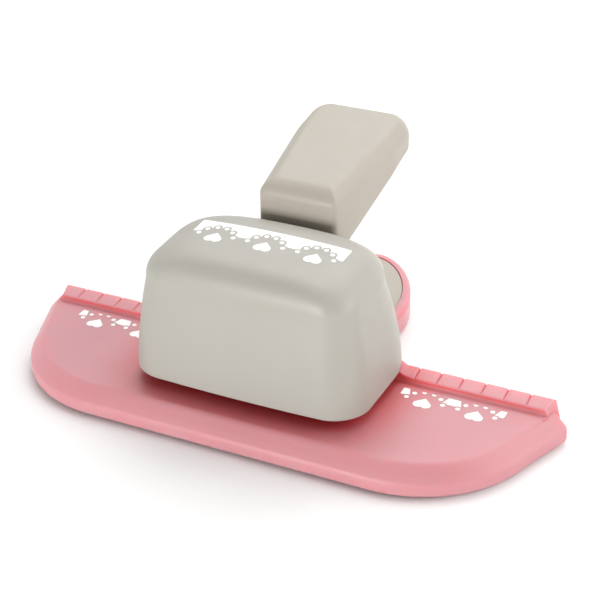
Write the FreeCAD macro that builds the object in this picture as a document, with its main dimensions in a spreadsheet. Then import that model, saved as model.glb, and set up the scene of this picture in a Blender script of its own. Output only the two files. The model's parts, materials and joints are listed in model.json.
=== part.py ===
"""Lever-operated border punch: base tray, steel die set, sprung punch block, lever and housing.

The document is laid out about the deck: X runs along the ruler, Y runs back from the
ruler's rear face, Z rises from the deck. Every finished sub-part is then placed so that
the origin is at the middle of the outline on the table, with +Z up. Millimetres.
"""
import FreeCAD, Part
import os
import re
import Sketcher
from FreeCAD import Placement, Rotation, Vector

doc = FreeCAD.newDocument("border_punch")

# ---------------------------------------------------------------- driving dimensions
SIZES = {
    # ruler and tray
    "mark_step": 6.35, "tray_back_half": 82.2, "tray_front": 45.4, "side_lean": 20,
    "tray_depth": 8, "front_corner": 34.3, "back_corner": 3, "bevel_drop": 4.5,
    "fence_depth": 5.3, "fence_foot": 1.8, "fence_top": 2.4, "foot_curve": 0.9,
    "groove_half": 0.45, "groove_deep": 0.5, "skirt": 5, "deck_skin": 2.4, "tray_hem": 0.8,
    # cover, feet and their screws
    "cover_low": 7.8, "cover_high": 6.4, "cover_gap": 0.3, "cover_screw_x": 62,
    "cover_screw_front": 27, "cover_screw_back": 9, "boss_radius": 3.6, "screw_stop": 3.3,
    "foot_radius": 5, "foot_proud": 0.8, "foot_x": 50, "foot_front": 32, "foot_back": 10,
    "tail_foot_y": 50,
    # raised bridge that carries the head, and its swept flanks
    "riser_half": 31.8, "riser_back": 11.8, "riser_top": 4, "riser_corner": 16, "flank_reach": 5.8,
    # tail
    "tail_half": 19.5, "tail_straight": 34.2, "tail_tip_half": 11, "tail_end": 62.5,
    "tail_corner": 12, "tail_hip": 30, "rim": 2.5, "inset_front": 15, "inset_sink": 0.3,
    "inset_thick": 1.2, "tail_room_half": 13, "tail_room_front": 18, "tail_room_back": 40,
    "tail_skin": 3.4,
    # die set
    "stack_half": 28, "die_front": 28, "guide_front": 33, "stack_back": 5, "die_thick": 3,
    "paper_gap": 1.5, "guide_thick": 3, "guide_corner": 3.5, "ledge": 2, "well_wall": 3.5,
    "chip_half": 24, "chip_front": 24, "chip_back": 4, "stack_screw_y": 1.6,
    "stack_screw_wide": 24, "stack_screw_near": 8, "slip": 0.1, "sink_gap": 0.3,
    # border pattern
    "repeat": 14.627, "heart_y": -13.76, "heart_side": 2.9, "heart_lift": 0.9,
    "dot_radius": 0.66, "arch_foot": 2,
    "scallop": 1.3, "blade_front": 1.2, "blade_back": -5.6, "cut_gap": 0.12, "seat_gap": 0.03,
    # punch block
    "punch_tip": 1.9, "holder_low": 13.5, "holder_thick": 5, "holder_half": 29,
    "holder_front": 21, "holder_back": 1.5, "holder_corner": 2, "holder_rear": 6,
    "retainer_half": 21.4, "retainer_thick": 2, "retainer_screw_x": 14,
    "retainer_screw_inset": 2, "retainer_bite": 3.8, "pad_half": 6.2, "pad_front": 18,
    "pad_back": 8, "pad_thick": 1.5, "post_x": 25.6, "post_y": -13, "post_radius": 2,
    "post_top": 24, "run_gap": 0.05, "bush_radius": 3, "collar": 0.6, "collar_thick": 0.8,
    "spring_radius": 3.1, "wire_radius": 0.4, "spring_pitch": 1.7, "spring_room": 0.05,
    # lever linkage
    "pivot_y": -28, "pivot_z": 23.8, "roller_y": -13, "roller_z": 26.3, "roller_radius": 4,
    "roller_pin": 1.75, "roller_proud": 0.6, "pivot_pin": 2.5, "pivot_bush": 3.6,
    "arm_inner": 6.9, "arm_outer": 9.3,
    "eye_radius": 4.4, "ear_inner": 11, "ear_outer": 13.2, "ear_half": 4.3, "bracket_half": 17.5,
    "flange_thick": 2, "bracket_screw_x": 15.3, "bracket_screw_off": 2.4, "pin_proud": 1.6,
    "clip_wide": 1.6, "clip_thick": 1, "clip_mouth": 1.9, "bush_float": 0.3,
    # housing
    "wall": 2, "housing_low": 3, "housing_half": 34.3, "housing_front": 37, "housing_back": 13,
    "housing_corner": 8, "housing_rear": 22, "shoulder_low": 30, "wall_lean": 3.5,
    "shoulder_run": 12, "shoulder_rise": 10.8, "slot_half": 13.6, "slot_low": 16.5, "slot_front": 1,
    "boss_x": 14, "boss_y": 9.4, "boss_top": 12, "boss_wide": 3.2, "boss_skin": 1,
    "sink_floor": 3,
    # lever shell
    "lever_front": 1.5, "lever_front_half": 11.7, "lever_wide_y": 35, "lever_half": 15.8,
    "lever_end": 48, "lever_heel": 28.7, "lever_brow": 47.3, "lever_crest": 56.6,
    "lever_kink": 44, "lever_tip_low": 46.6, "lever_corner": 7, "lever_edge": 2.6,
    "heel_open": 36, "mouth_gap": 0.4, "under_front": 6.7, "under_end": 45.5, "under_sink": 0.3,
    "under_thick": 1.6, "under_gap": 0.15, "rib_front": 8, "rib_back": 20, "rib_low": 39.2,
    "rib_high": 48,
    # fasteners
    "screw_radius": 1.5, "screw_head": 2.75, "head_thick": 1.2, "small_screw": 1,
    "small_head": 2, "tiny_head": 1.7,
}

sheet = doc.addObject("Spreadsheet::Sheet", "sizes")
for row, (alias, number) in enumerate(SIZES.items(), start=1):
    sheet.set(f"A{row}", alias)
    sheet.set(f"B{row}", str(number))
    sheet.setAlias(f"B{row}", alias)
doc.recompute()


# ---------------------------------------------------------------- helpers
def bound(text):
    """A formula in the sheet's own names, as the document's expression engine reads it."""
    return re.sub(r"\b[a-z]+(_[a-z]+)*\b(?!\()", lambda m: m.group() if m.group() == "deg"
                  else "sizes." + m.group(), str(text))


def value(text):
    """The number that a formula has now."""
    return float(sheet.evalExpression(bound(text) + " + 0"))


def bind(thing, **formulas):
    """Ties properties to formulas; at_x, at_y and at_z stand for the placement."""
    for prop, text in formulas.items():
        path = "Placement.Base." + prop[-1] if prop.startswith("at_") else prop
        thing.setExpression(path, bound(text))
    return thing


def block(name, x, y, z):
    """A box between two x, two y and two z formulas."""
    box = doc.addObject("Part::Box", name)
    for side, (low, high) in zip(("Length", "Width", "Height"), (x, y, z)):
        box.setExpression(side, bound(f"({high}) - ({low})"))
    return bind(box, at_x=x[0], at_y=y[0], at_z=z[0])


def rod(name, radius, x, y, z, along="z"):
    """A cylinder along z or x; the formula pair is its two ends."""
    bar = doc.addObject("Part::Cylinder", name)
    low, high = z if along == "z" else x
    if along == "x":
        bar.Placement = Placement(Vector(), Rotation(Vector(0, 1, 0), 90))
        bind(bar, at_x=low, at_y=y, at_z=z)
    else:
        bind(bar, at_x=x, at_y=y, at_z=low)
    return bind(bar, Radius=radius, Height=f"({high}) - ({low})")


def fuse(name, parts):
    whole = doc.addObject("Part::MultiFuse", name)
    whole.Shapes = parts
    return whole


def group(name, parts):
    """Separate solids kept as one sub-part."""
    several = doc.addObject("Part::Compound", name)
    several.Links = parts
    return several


def cut(name, base, tools):
    """The base with every tool taken away."""
    result = doc.addObject("Part::Cut", name)
    result.Base = base
    result.Tool = tools[0] if len(tools) == 1 else fuse(name + "_tools", tools)
    return result


def mirrored(text):
    """A formula and its opposite, for left and right."""
    return [f"-({text})", str(text)]


def new_body(name):
    return doc.addObject("PartDesign::Body", name)


def sketch_on(body, name, plane, height="0"):
    """An empty sketch on one of the body's origin planes, lifted along the plane's normal."""
    sketch = body.newObject("Sketcher::SketchObject", name)
    face = [item for item in body.Origin.OriginFeatures if item.Role == plane + "_Plane"][0]
    sketch.AttachmentSupport = (face, [""])
    sketch.MapMode = "FlatFace"
    sketch.setExpression("AttachmentOffset.Base.z", bound(height))
    return sketch


def pin_point(sketch, item, end, across, up):
    """Places a point of a sketch by two formulas measured from the sketch's origin."""
    for kind, axis, text in (("DistanceX", -2, across), ("DistanceY", -1, up)):
        number = value(text)
        if abs(number) < 1e-9:
            sketch.addConstraint(Sketcher.Constraint("PointOnObject", item, end, axis))
            continue
        index = sketch.addConstraint(Sketcher.Constraint(kind, -1, 1, item, end, number))
        sketch.setExpression(f"Constraints[{index}]", bound(text))


def outline(sketch, corners):
    """A closed outline of straight edges through corners given as pairs of formulas."""
    first = sketch.GeometryCount
    points = [Vector(value(across), value(up), 0) for across, up in corners]
    count = len(points)
    for i in range(count):
        sketch.addGeometry(Part.LineSegment(points[i], points[(i + 1) % count]), False)
    for i in range(count):
        sketch.addConstraint(Sketcher.Constraint("Coincident", first + i, 2,
                                                 first + (i + 1) % count, 1))
    for i, (across, up) in enumerate(corners):
        pin_point(sketch, first + i, 1, across, up)
    return sketch


def rounded(sketch, half, front, back, front_radius, back_radius):
    """A rectangle symmetric about the sketch's y axis with round front and back corners."""
    w, f, b = value(half), value(front), value(back)
    r, s = value(front_radius), value(back_radius)
    quarter = 1.5707963267948966
    flat = Vector(0, 0, 1)

    def arc(x, y, radius, start):
        return Part.ArcOfCircle(Part.Circle(Vector(x, y, 0), flat, radius), start, start + quarter)

    pieces = [
        Part.LineSegment(Vector(-w + r, f, 0), Vector(w - r, f, 0)), arc(w - r, f + r, r, -quarter),
        Part.LineSegment(Vector(w, f + r, 0), Vector(w, b - s, 0)), arc(w - s, b - s, s, 0),
        Part.LineSegment(Vector(w - s, b, 0), Vector(-w + s, b, 0)), arc(-w + s, b - s, s, quarter),
        Part.LineSegment(Vector(-w, b - s, 0), Vector(-w, f + r, 0)), arc(-w + r, f + r, r, 2 * quarter),
    ]
    for piece in pieces:
        sketch.addGeometry(piece, False)
    for i in range(8):
        sketch.addConstraint(Sketcher.Constraint("Tangent", i, 2, (i + 1) % 8, 1))
    sketch.addConstraint(Sketcher.Constraint("Horizontal", 0))
    for item, text in ((1, front_radius), (7, front_radius), (3, back_radius), (5, back_radius)):
        index = sketch.addConstraint(Sketcher.Constraint("Radius", item, value(text)))
        sketch.setExpression(f"Constraints[{index}]", bound(text))
    for kind, item, text in (("DistanceY", 0, front), ("DistanceY", 4, back),
                             ("DistanceX", 2, half), ("DistanceX", 6, f"-({half})")):
        index = sketch.addConstraint(Sketcher.Constraint(kind, -1, 1, item, 1, value(text)))
        sketch.setExpression(f"Constraints[{index}]", bound(text))
    return sketch


def extrude(body, kind, name, sketch, length, both=False, back=False):
    """A Pad or Pocket of a sketch; both halves it about the plane, back turns it round."""
    feature = body.newObject("PartDesign::" + kind, name)
    feature.Profile = sketch
    feature.SideType = "Symmetric" if both else "One side"
    feature.Reversed = back
    feature.setExpression("Length", bound(length))
    sketch.Visibility = False
    doc.recompute()
    return feature


def upright(ends):
    """True for an edge that climbs more than it runs."""
    run = ends[1] - ends[0]
    return abs(run.z) > abs(run.x) + abs(run.y)


def edges_where(shape, test, posture=None):
    """Names of the edges whose two ends both pass a test, and whose posture fits if given."""
    names = []
    for number, edge in enumerate(shape.Edges, start=1):
        ends = [vertex.Point for vertex in edge.Vertexes]
        if len(ends) == 2 and all(test(point) for point in ends) and (
                posture is None or posture(ends)):
            names.append(f"Edge{number}")
    return names


def dress(body, kind, name, size, test, posture=None):
    """A Fillet or Chamfer of the edges that pass a test."""
    base = body.Tip
    names = edges_where(base.Shape, test, posture)
    if not names:
        raise ValueError(f"{name}: no edge found")
    feature = body.newObject("PartDesign::" + kind, name)
    feature.Base = (base, names)
    feature.setExpression("Radius" if kind == "Fillet" else "Size", bound(size))
    doc.recompute()
    if "Invalid" in feature.State:
        raise RuntimeError(f"{name} failed on {names}")
    return feature


def near(number, text):
    """True where a coordinate is at a formula's value."""
    return abs(number - value(text)) < 1e-4


FINISHED = []


def finish(thing, label):
    """Labels a finished sub-part and moves it from the deck's frame to the part's."""
    if thing.Placement.Base.Length > 0:
        raise ValueError(f"{label} has a place of its own, so it goes into a group first")
    thing.Label = label
    bind(thing, at_y="(tray_front - tail_end) / 2", at_z="tray_depth + foot_proud")
    FINISHED.append(thing)
    return thing


# ---------------------------------------------------------------- border pattern
def dots():
    """The six dot centres of one repeat, measured from its heart: three mirrored pairs."""
    pairs = [(5.17, 1.84), (3.77, 4.31), (1.37, 5.68)]
    return [(side * across, back) for across, back in pairs for side in (-1, 1)]


REPEATS = (-1, 0, 1)


def heart(name, middle, low, high, gap):
    """A square on its corner with a half disc on its two front sides; the tip points back."""
    side = f"(heart_side + 2 * ({gap}))"
    square = block(name + "_square", (0, side), (0, side), (low, high))
    square.Placement = Placement(Vector(), Rotation(Vector(0, 0, 1), 45))
    half_diagonal = "cos(45 * 1 deg)"
    bind(square, at_x=middle, at_y=f"heart_y + heart_lift - {side} * {half_diagonal}", at_z=low)
    lobes = [rod(f"{name}_lobe_{i}", f"heart_side / 2 + ({gap})",
                 f"{middle} + {side_sign} * heart_side / 2 * {half_diagonal}",
                 f"heart_y + heart_lift - heart_side / 2 * {half_diagonal}", (low, high))
             for i, side_sign in enumerate((-1, 1))]
    return fuse(name, [square] + lobes)


def hearts(name, low, high, gap):
    return [heart(f"{name}_{n + 2}", f"{n} * repeat", low, high, gap) for n in REPEATS]


def dot_rods(name, radius, low, high, shift=0):
    """A rod on every dot of every repeat."""
    return [rod(f"{name}_{n + 2}_{i}", radius, f"{n} * repeat + ({across})",
                f"heart_y + {back} + {shift}", (low, high))
            for n in REPEATS for i, (across, back) in enumerate(dots())]


def waste_blade(name, low, high, gap):
    """The band that trims the edge: a bar whose front is scalloped round every dot."""
    bar = block(name + "_bar", (f"-1.5 * repeat - ({gap})", f"1.5 * repeat + ({gap})"),
                (f"heart_y + blade_front - ({gap})", f"blade_back + ({gap})"), (low, high))
    below, above = f"({low}) - 1", f"({high}) + 1"
    rings = dot_rods(name + "_ring", f"scallop - ({gap})", below, above)
    core = new_body(name + "_arches")
    sketch = sketch_on(core, name + "_arch", "XY", below)
    left = [point for point in dots() if point[0] < 0]
    right = [point for point in reversed(dots()) if point[0] > 0]
    for n in REPEATS:
        arch = [(left[0][0], "-arch_foot")] + left + right + [(right[-1][0], "-arch_foot")]
        outline(sketch, [(f"{n} * repeat + ({across})", f"heart_y + ({back})")
                         for across, back in arch])
    extrude(core, "Pad", name + "_arch_pad", sketch, f"({above}) - ({below})")
    return cut(name, bar, rings + [core])


def pattern_holes(name, low, high, gap):
    """Tools that open a plate for every punch."""
    return (hearts(name + "_heart", low, high, gap)
            + dot_rods(name + "_dot", f"dot_radius + ({gap})", low, high)
            + [waste_blade(name + "_band", low, high, gap)])


# ---------------------------------------------------------------- base tray
def trapezoid(inset, back):
    """The tray's plan: a straight front and two leaning sides, brought in by an inset."""
    lean = f"({inset}) / cos(side_lean * 1 deg)"
    front_half = f"tray_back_half - tray_front * tan(side_lean * 1 deg) - {lean}"
    front_half = f"({front_half} + ({inset}) * tan(side_lean * 1 deg))"
    back_half = f"(tray_back_half - ({back}) * tan(side_lean * 1 deg) - {lean})"
    return [(f"-{front_half}", f"-tray_front + ({inset})"), (front_half, f"-tray_front + ({inset})"),
            (back_half, f"-({back})"), (f"-{back_half}", f"-({back})")]


def tail_plan(inset, front):
    """The tail's plan: a strip that narrows to a blunt end."""
    return [(f"-(tail_half - ({inset}))", front), (f"tail_half - ({inset})", front),
            (f"tail_half - ({inset})", "tail_straight"),
            (f"tail_tip_half - 0.75 * ({inset})", f"tail_end - ({inset})"),
            (f"-(tail_tip_half - 0.75 * ({inset}))", f"tail_end - ({inset})"),
            (f"-(tail_half - ({inset}))", "tail_straight")]


def tail_solid(name, inset, front, low, high):
    """A plate in the tail's outline with its corners rounded."""
    body = new_body(name + "_body")
    sketch = outline(sketch_on(body, name + "_plan", "XY", low), tail_plan(inset, front))
    extrude(body, "Pad", name + "_pad", sketch, f"({high}) - ({low})")
    dress(body, "Fillet", name + "_tip", f"tail_corner - 0.9 * ({inset})",
          lambda p: near(p.y, f"tail_end - ({inset})"), upright)
    dress(body, "Fillet", name + "_hip", "tail_hip", lambda p: near(p.y, "tail_straight"), upright)
    return body


def build_base_tray():
    body = new_body("tray_body")
    sketch = outline(sketch_on(body, "tray_plan", "XY", "-tray_depth"), trapezoid(0, 0))
    extrude(body, "Pad", "tray_pad", sketch, "tray_depth + fence_top")
    dress(body, "Fillet", "tray_front_corners", "front_corner",
          lambda p: near(p.y, "-tray_front"), upright)
    dress(body, "Chamfer", "tray_bevel", "fence_top + bevel_drop",
          lambda p: near(p.z, "fence_top"), lambda ends: abs(ends[0].y + ends[1].y) > 0.1)
    dress(body, "Fillet", "tray_back_corners", "back_corner",
          lambda p: near(p.y, "0") and near(abs(p.x), "tray_back_half"), upright)
    dress(body, "Fillet", "tray_hem_curve", "tray_hem", lambda p: near(p.z, "-tray_depth"))

    side = outline(sketch_on(body, "deck_profile", "YZ"), [
        ("-tray_front - 5", "0"), ("-fence_depth", "0"), ("-fence_depth", "fence_foot"),
        ("0", "fence_top"), ("0", "fence_top + 3"), ("-tray_front - 5", "fence_top + 3")])
    extrude(body, "Pocket", "deck_cut", side, "2 * tray_back_half + 10", both=True)
    dress(body, "Fillet", "fence_foot_curve", "foot_curve",
          lambda p: near(p.y, "-fence_depth") and near(p.z, "0"))

    marks = sketch_on(body, "mark_profile", "XZ")
    outline(marks, [("-11 * mark_step - groove_half", "fence_top + 0.2"),
                    ("-11 * mark_step", "fence_top - groove_deep"),
                    ("-11 * mark_step + groove_half", "fence_top + 0.2")])
    mark = extrude(body, "Pocket", "mark_cut", marks, "fence_depth + 1", back=True)
    row = body.newObject("PartDesign::LinearPattern", "mark_row")
    row.Originals = [mark]
    row.Direction = (marks, ["H_Axis"])
    row.setExpression("Length", bound("22 * mark_step"))
    row.Occurrences = 23
    body.Tip = row
    doc.recompute()

    plan = sketch_on(body, "riser_plan", "XY", "-tray_depth")
    rounded(plan, "riser_half", "-fence_depth", "riser_back", "0.5", "riser_corner")
    extrude(body, "Pad", "riser_pad", plan, "tray_depth + riser_top")
    for side_name, sign in (("left", -1), ("right", 1)):
        flank(body, side_name, sign)
    return body


def flank(body, side_name, sign):
    """The ruler's face sweeps up to the riser in a hollow curve that starts level."""
    sketch = sketch_on(body, side_name + "_flank_profile", "XZ")
    near_x, top_x = f"{sign} * (riser_half - 1)", f"{sign} * riser_half"
    far_x = f"{sign} * (riser_half + flank_reach)"
    rise = "(riser_top - fence_foot)"
    radius = f"((flank_reach ^ 2 + {rise} ^ 2) / (2 * {rise}))"
    corners = [(near_x, "0"), (far_x, "0"), (far_x, "fence_foot"), (top_x, "riser_top"),
               (near_x, "riser_top")]
    points = [Vector(value(across), value(up), 0) for across, up in corners]
    for a, b in ((0, 1), (1, 2), (3, 4), (4, 0)):
        sketch.addGeometry(Part.LineSegment(points[a], points[b]), False)
    circle = Part.Circle(points[2] + Vector(0, value(radius), 0), Vector(0, 0, 1), value(radius))
    start = circle.parameter(points[2])
    ends = sorted((start, circle.parameter(points[3])))
    arc = sketch.addGeometry(Part.ArcOfCircle(circle, *ends), False)
    first_end, last_end = (1, 2) if ends[0] == start else (2, 1)
    for constraint in (("Coincident", 0, 2, 1, 1), ("Coincident", 1, 2, arc, first_end),
                       ("Coincident", arc, last_end, 2, 1), ("Coincident", 2, 2, 3, 1),
                       ("Coincident", 3, 2, 0, 1)):
        sketch.addConstraint(Sketcher.Constraint(*constraint))
    for item, (across, up) in ((0, corners[0]), (1, corners[1]), (2, corners[3]), (3, corners[4])):
        pin_point(sketch, item, 1, across, up)
    pin_point(sketch, arc, 3, far_x, f"fence_foot + {radius}")
    extrude(body, "Pad", side_name + "_flank", sketch, "fence_depth")


COVER_SPOTS = [(x, y) for x in mirrored("cover_screw_x")
               for y in ("-cover_screw_front", "-cover_screw_back")]
STACK_SPOTS = [(x, "stack_screw_y") for w in ("stack_screw_wide", "stack_screw_near")
               for x in mirrored(w)]
HOUSING_SPOTS = [(x, "boss_y") for x in mirrored("boss_x")]
FOOT_SPOTS = [(x, y) for x in mirrored("foot_x") for y in ("-foot_front", "-foot_back")]


def make_base():
    body = build_base_tray()
    tail = tail_solid("tail", "0", "-1", "-tray_depth", "0")
    whole = fuse("tray_whole", [body, tail])

    hollow = new_body("hollow_body")
    plan = outline(sketch_on(hollow, "hollow_plan", "XY", "-tray_depth - 1"),
                   trapezoid("skirt", "back_corner"))
    extrude(hollow, "Pad", "hollow_pad", plan, "tray_depth + 1 - deck_skin")
    dress(hollow, "Fillet", "hollow_corners", "front_corner - skirt",
          lambda p: near(p.y, "-tray_front + skirt"), upright)
    well = block("well_block", ("-stack_half - well_wall", "stack_half + well_wall"),
                 ("-die_front - well_wall", "0"), ("-die_thick - ledge", "0"))
    bosses = [rod(f"cover_boss_{i}", "boss_radius", x, y, ("-cover_high", "-deck_skin"))
              for i, (x, y) in enumerate(COVER_SPOTS)]
    tail_hollow = block("tail_hollow", mirrored("tail_room_half"),
                        ("tail_room_front", "tail_room_back"), ("-tray_depth - 1", "-tail_skin"))
    opened = cut("tray_opened", whole, [cut("hollow", hollow, [well] + bosses), tail_hollow])

    tools = [
        block("die_well", mirrored("stack_half + slip"), ("-die_front - slip", "stack_back + slip"),
              ("-die_thick", "riser_top + 5")),
        block("chip_drop", mirrored("chip_half"), ("-chip_front", "-chip_back"),
              ("-tray_depth - 1", "0")),
        tail_solid("inset_seat", "rim", "inset_front - slip", "-inset_sink - inset_thick", "5"),
    ]
    tools += [rod(f"stack_hole_{i}", "screw_radius + seat_gap", x, y, ("-tray_depth - 1", "0"))
              for i, (x, y) in enumerate(STACK_SPOTS)]
    tools += [rod(f"stack_sink_{i}", "screw_head + sink_gap", x, y,
                  ("-tray_depth - 1", "-die_thick - ledge")) for i, (x, y) in enumerate(STACK_SPOTS)]
    tools += [rod(f"housing_hole_{i}", "screw_radius + seat_gap", x, y, ("-tray_depth - 1", "9"))
              for i, (x, y) in enumerate(HOUSING_SPOTS)]
    tools += [rod(f"housing_sink_{i}", "screw_head + sink_gap", x, y,
                  ("-tray_depth - 1", "-sink_floor")) for i, (x, y) in enumerate(HOUSING_SPOTS)]
    tools += [rod(f"cover_hole_{i}", "small_screw + seat_gap", x, y,
                  ("-tray_depth", "-screw_stop + slip"))
              for i, (x, y) in enumerate(COVER_SPOTS)]
    finish(cut("base_tray_solid", opened, tools), "base_tray")

    finish(tail_solid("inset", "rim + slip", "inset_front", "-inset_sink - inset_thick",
                      "-inset_sink"), "tail_inset")


def make_bottom_cover():
    low, high = "-cover_low", "-cover_high"
    body = new_body("cover_body")
    plan = outline(sketch_on(body, "cover_plan", "XY", low),
                   trapezoid("skirt + cover_gap", "back_corner + cover_gap"))
    extrude(body, "Pad", "cover_pad", plan, f"({high}) - ({low})")
    dress(body, "Fillet", "cover_corners", "front_corner - skirt - cover_gap",
          lambda p: near(p.y, "-tray_front + skirt + cover_gap"), upright)
    tools = [block("cover_window", mirrored("chip_half + 1"), ("-chip_front - 1", "-chip_back + 3"),
                   ("-tray_depth - 1", "-5"))]
    tools += [rod(f"cover_clear_{i}", "small_screw + slip", x, y, ("-tray_depth - 1", "-5"))
              for i, (x, y) in enumerate(COVER_SPOTS)]
    finish(cut("cover_solid", body, tools), "bottom_cover")

    screws = []
    for i, (x, y) in enumerate(COVER_SPOTS):
        shank = rod(f"base_screw_shank_{i}", "small_screw", x, y, (low, "-screw_stop"))
        head = rod(f"base_screw_head_{i}", "small_head", x, y, ("-tray_depth - 0.5", low))
        screws.append(fuse(f"base_screw_{i}", [shank, head]))
    finish(group("base_screw_set", screws), "base_screws")

    feet = [rod(f"foot_{i}", "foot_radius", x, y, ("-tray_depth - foot_proud", low))
            for i, (x, y) in enumerate(FOOT_SPOTS)]
    feet.append(rod("foot_tail", "foot_radius", "0", "tail_foot_y",
                    ("-tray_depth - foot_proud", "-tray_depth")))
    finish(group("foot_set", feet), "rubber_feet")


# ---------------------------------------------------------------- steel die set
def make_die_set():
    sides = mirrored("stack_half")
    holes = [rod(f"die_screw_hole_{i}", "screw_radius + seat_gap", x, y, ("-9", "9"))
             for i, (x, y) in enumerate(STACK_SPOTS)]
    stock = block("die_stock", sides, ("-die_front", "stack_back"), ("-die_thick", "0"))
    finish(cut("die", stock, pattern_holes("die", "-die_thick - 1", "1", "cut_gap") + holes),
           "die_plate")
    stock = block("spacer_stock", sides, ("-fence_depth", "stack_back"), ("0", "paper_gap"))
    finish(cut("spacer", stock, holes), "paper_stop")
    top = "paper_gap + guide_thick"
    stock = new_body("guide_body")
    plan = rounded(sketch_on(stock, "guide_plan", "XY", "paper_gap"), "stack_half", "-guide_front",
                   "stack_back", "guide_corner", "guide_corner")
    extrude(stock, "Pad", "guide_pad", plan, "guide_thick")
    posts = [rod(f"guide_post_hole_{i}", "post_radius + seat_gap", x, "post_y", ("0", "9"))
             for i, x in enumerate(mirrored("post_x"))]
    flange_holes = [rod(f"flange_thread_{i}", "small_screw + seat_gap", x, y, ("0", "9"))
                    for i, (x, y) in enumerate(BRACKET_SPOTS)]
    finish(cut("guide", stock, pattern_holes("guide", "0", "9", "cut_gap") + holes + posts
               + flange_holes), "guide_plate")

    screws = []
    for i, (x, y) in enumerate(STACK_SPOTS):
        shank = rod(f"die_screw_shank_{i}", "screw_radius", x, y, ("-die_thick - ledge", top))
        head = rod(f"die_screw_head_{i}", "screw_head", x, y,
                   ("-die_thick - ledge - head_thick", "-die_thick - ledge"))
        screws.append(fuse(f"die_screw_{i}", [shank, head]))
    finish(group("die_screw_set", screws), "die_screws")

    posts = [rod(f"post_{i}", "post_radius", x, "post_y", ("paper_gap", "post_top"))
             for i, x in enumerate(mirrored("post_x"))]
    finish(group("post_set", posts), "guide_posts")
    finish(group("spring_set", [spring(f"spring_{i}", x) for i, x in enumerate(mirrored("post_x"))]),
           "return_springs")


def spring(name, x):
    """A round wire wound about its guide post, with a little room above and below."""
    body = new_body(name + "_body")
    sketch = sketch_on(body, name + "_wire", "XZ")
    sketch.addGeometry(Part.Circle(Vector(value("spring_radius"), value("wire_radius"), 0),
                                   Vector(0, 0, 1), value("wire_radius")), False)
    pin_point(sketch, 0, 3, "spring_radius", "wire_radius")
    index = sketch.addConstraint(Sketcher.Constraint("Radius", 0, value("wire_radius")))
    sketch.setExpression(f"Constraints[{index}]", bound("wire_radius"))
    coil = body.newObject("PartDesign::AdditiveHelix", name + "_coil")
    coil.Profile = sketch
    coil.ReferenceAxis = (sketch, ["V_Axis"])
    coil.Mode = "pitch-height-angle"
    coil.setExpression("Pitch", bound("spring_pitch"))
    coil.setExpression("Height", bound("holder_low - paper_gap - guide_thick - 2 * wire_radius"
                                       " - 2 * spring_room"))
    doc.recompute()
    return bind(body, at_x=x, at_y="post_y", at_z="paper_gap + guide_thick + spring_room")


# ---------------------------------------------------------------- pivot bracket and pin
BRACKET_SPOTS = [(x, y) for x in mirrored("bracket_screw_x")
                 for y in ("pivot_y - bracket_screw_off", "pivot_y + bracket_screw_off")]


def make_bracket():
    base = "paper_gap + guide_thick"
    deep = ("pivot_y - ear_half", "pivot_y + ear_half")
    flange = block("flange", mirrored("bracket_half"), deep, (base, f"{base} + flange_thick"))
    solids, bores = [flange], []
    for i, (low, high) in enumerate((("-ear_outer", "-ear_inner"), ("ear_inner", "ear_outer"))):
        solids.append(block(f"ear_{i}", (low, high), deep, (base, "pivot_z")))
        solids.append(rod(f"ear_round_{i}", "ear_half", (low, high), "pivot_y", "pivot_z", "x"))
    bores.append(rod("ear_bore", "pivot_pin + seat_gap", ("-20", "20"), "pivot_y", "pivot_z", "x"))
    bores += [rod(f"flange_hole_{i}", "small_screw + seat_gap", x, y, ("0", "9"))
              for i, (x, y) in enumerate(BRACKET_SPOTS)]
    finish(cut("bracket", fuse("bracket_stock", solids), bores), "pivot_bracket")

    screws = []
    for i, (x, y) in enumerate(BRACKET_SPOTS):
        shank = rod(f"bracket_shank_{i}", "small_screw", x, y,
                    ("paper_gap + seat_gap", f"{base} + flange_thick"))
        head = rod(f"bracket_head_{i}", "tiny_head", x, y,
                   (f"{base} + flange_thick", f"{base} + flange_thick + head_thick"))
        screws.append(fuse(f"bracket_screw_{i}", [shank, head]))
    finish(group("bracket_screw_set", screws), "bracket_screws")

    pin = rod("pin_bar", "pivot_pin", mirrored("ear_outer + pin_proud"), "pivot_y", "pivot_z", "x")
    finish(group("pin_whole", [pin]), "pivot_pin")
    clips = []
    for i, (low, high) in enumerate((("-ear_outer - clip_thick", "-ear_outer"),
                                     ("ear_outer", "ear_outer + clip_thick"))):
        disc = rod(f"clip_disc_{i}", "pivot_pin + clip_wide", (low, high), "pivot_y", "pivot_z", "x")
        bore = rod(f"clip_bore_{i}", "pivot_pin + seat_gap", ("-20", "20"), "pivot_y", "pivot_z", "x")
        mouth = block(f"clip_mouth_{i}", ("-20", "20"),
                      ("pivot_y - clip_mouth", "pivot_y + clip_mouth"), ("pivot_z", "pivot_z + 6"))
        clips.append(cut(f"clip_{i}", disc, [bore, mouth]))
    finish(group("clip_set", clips), "pivot_clips")


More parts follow.
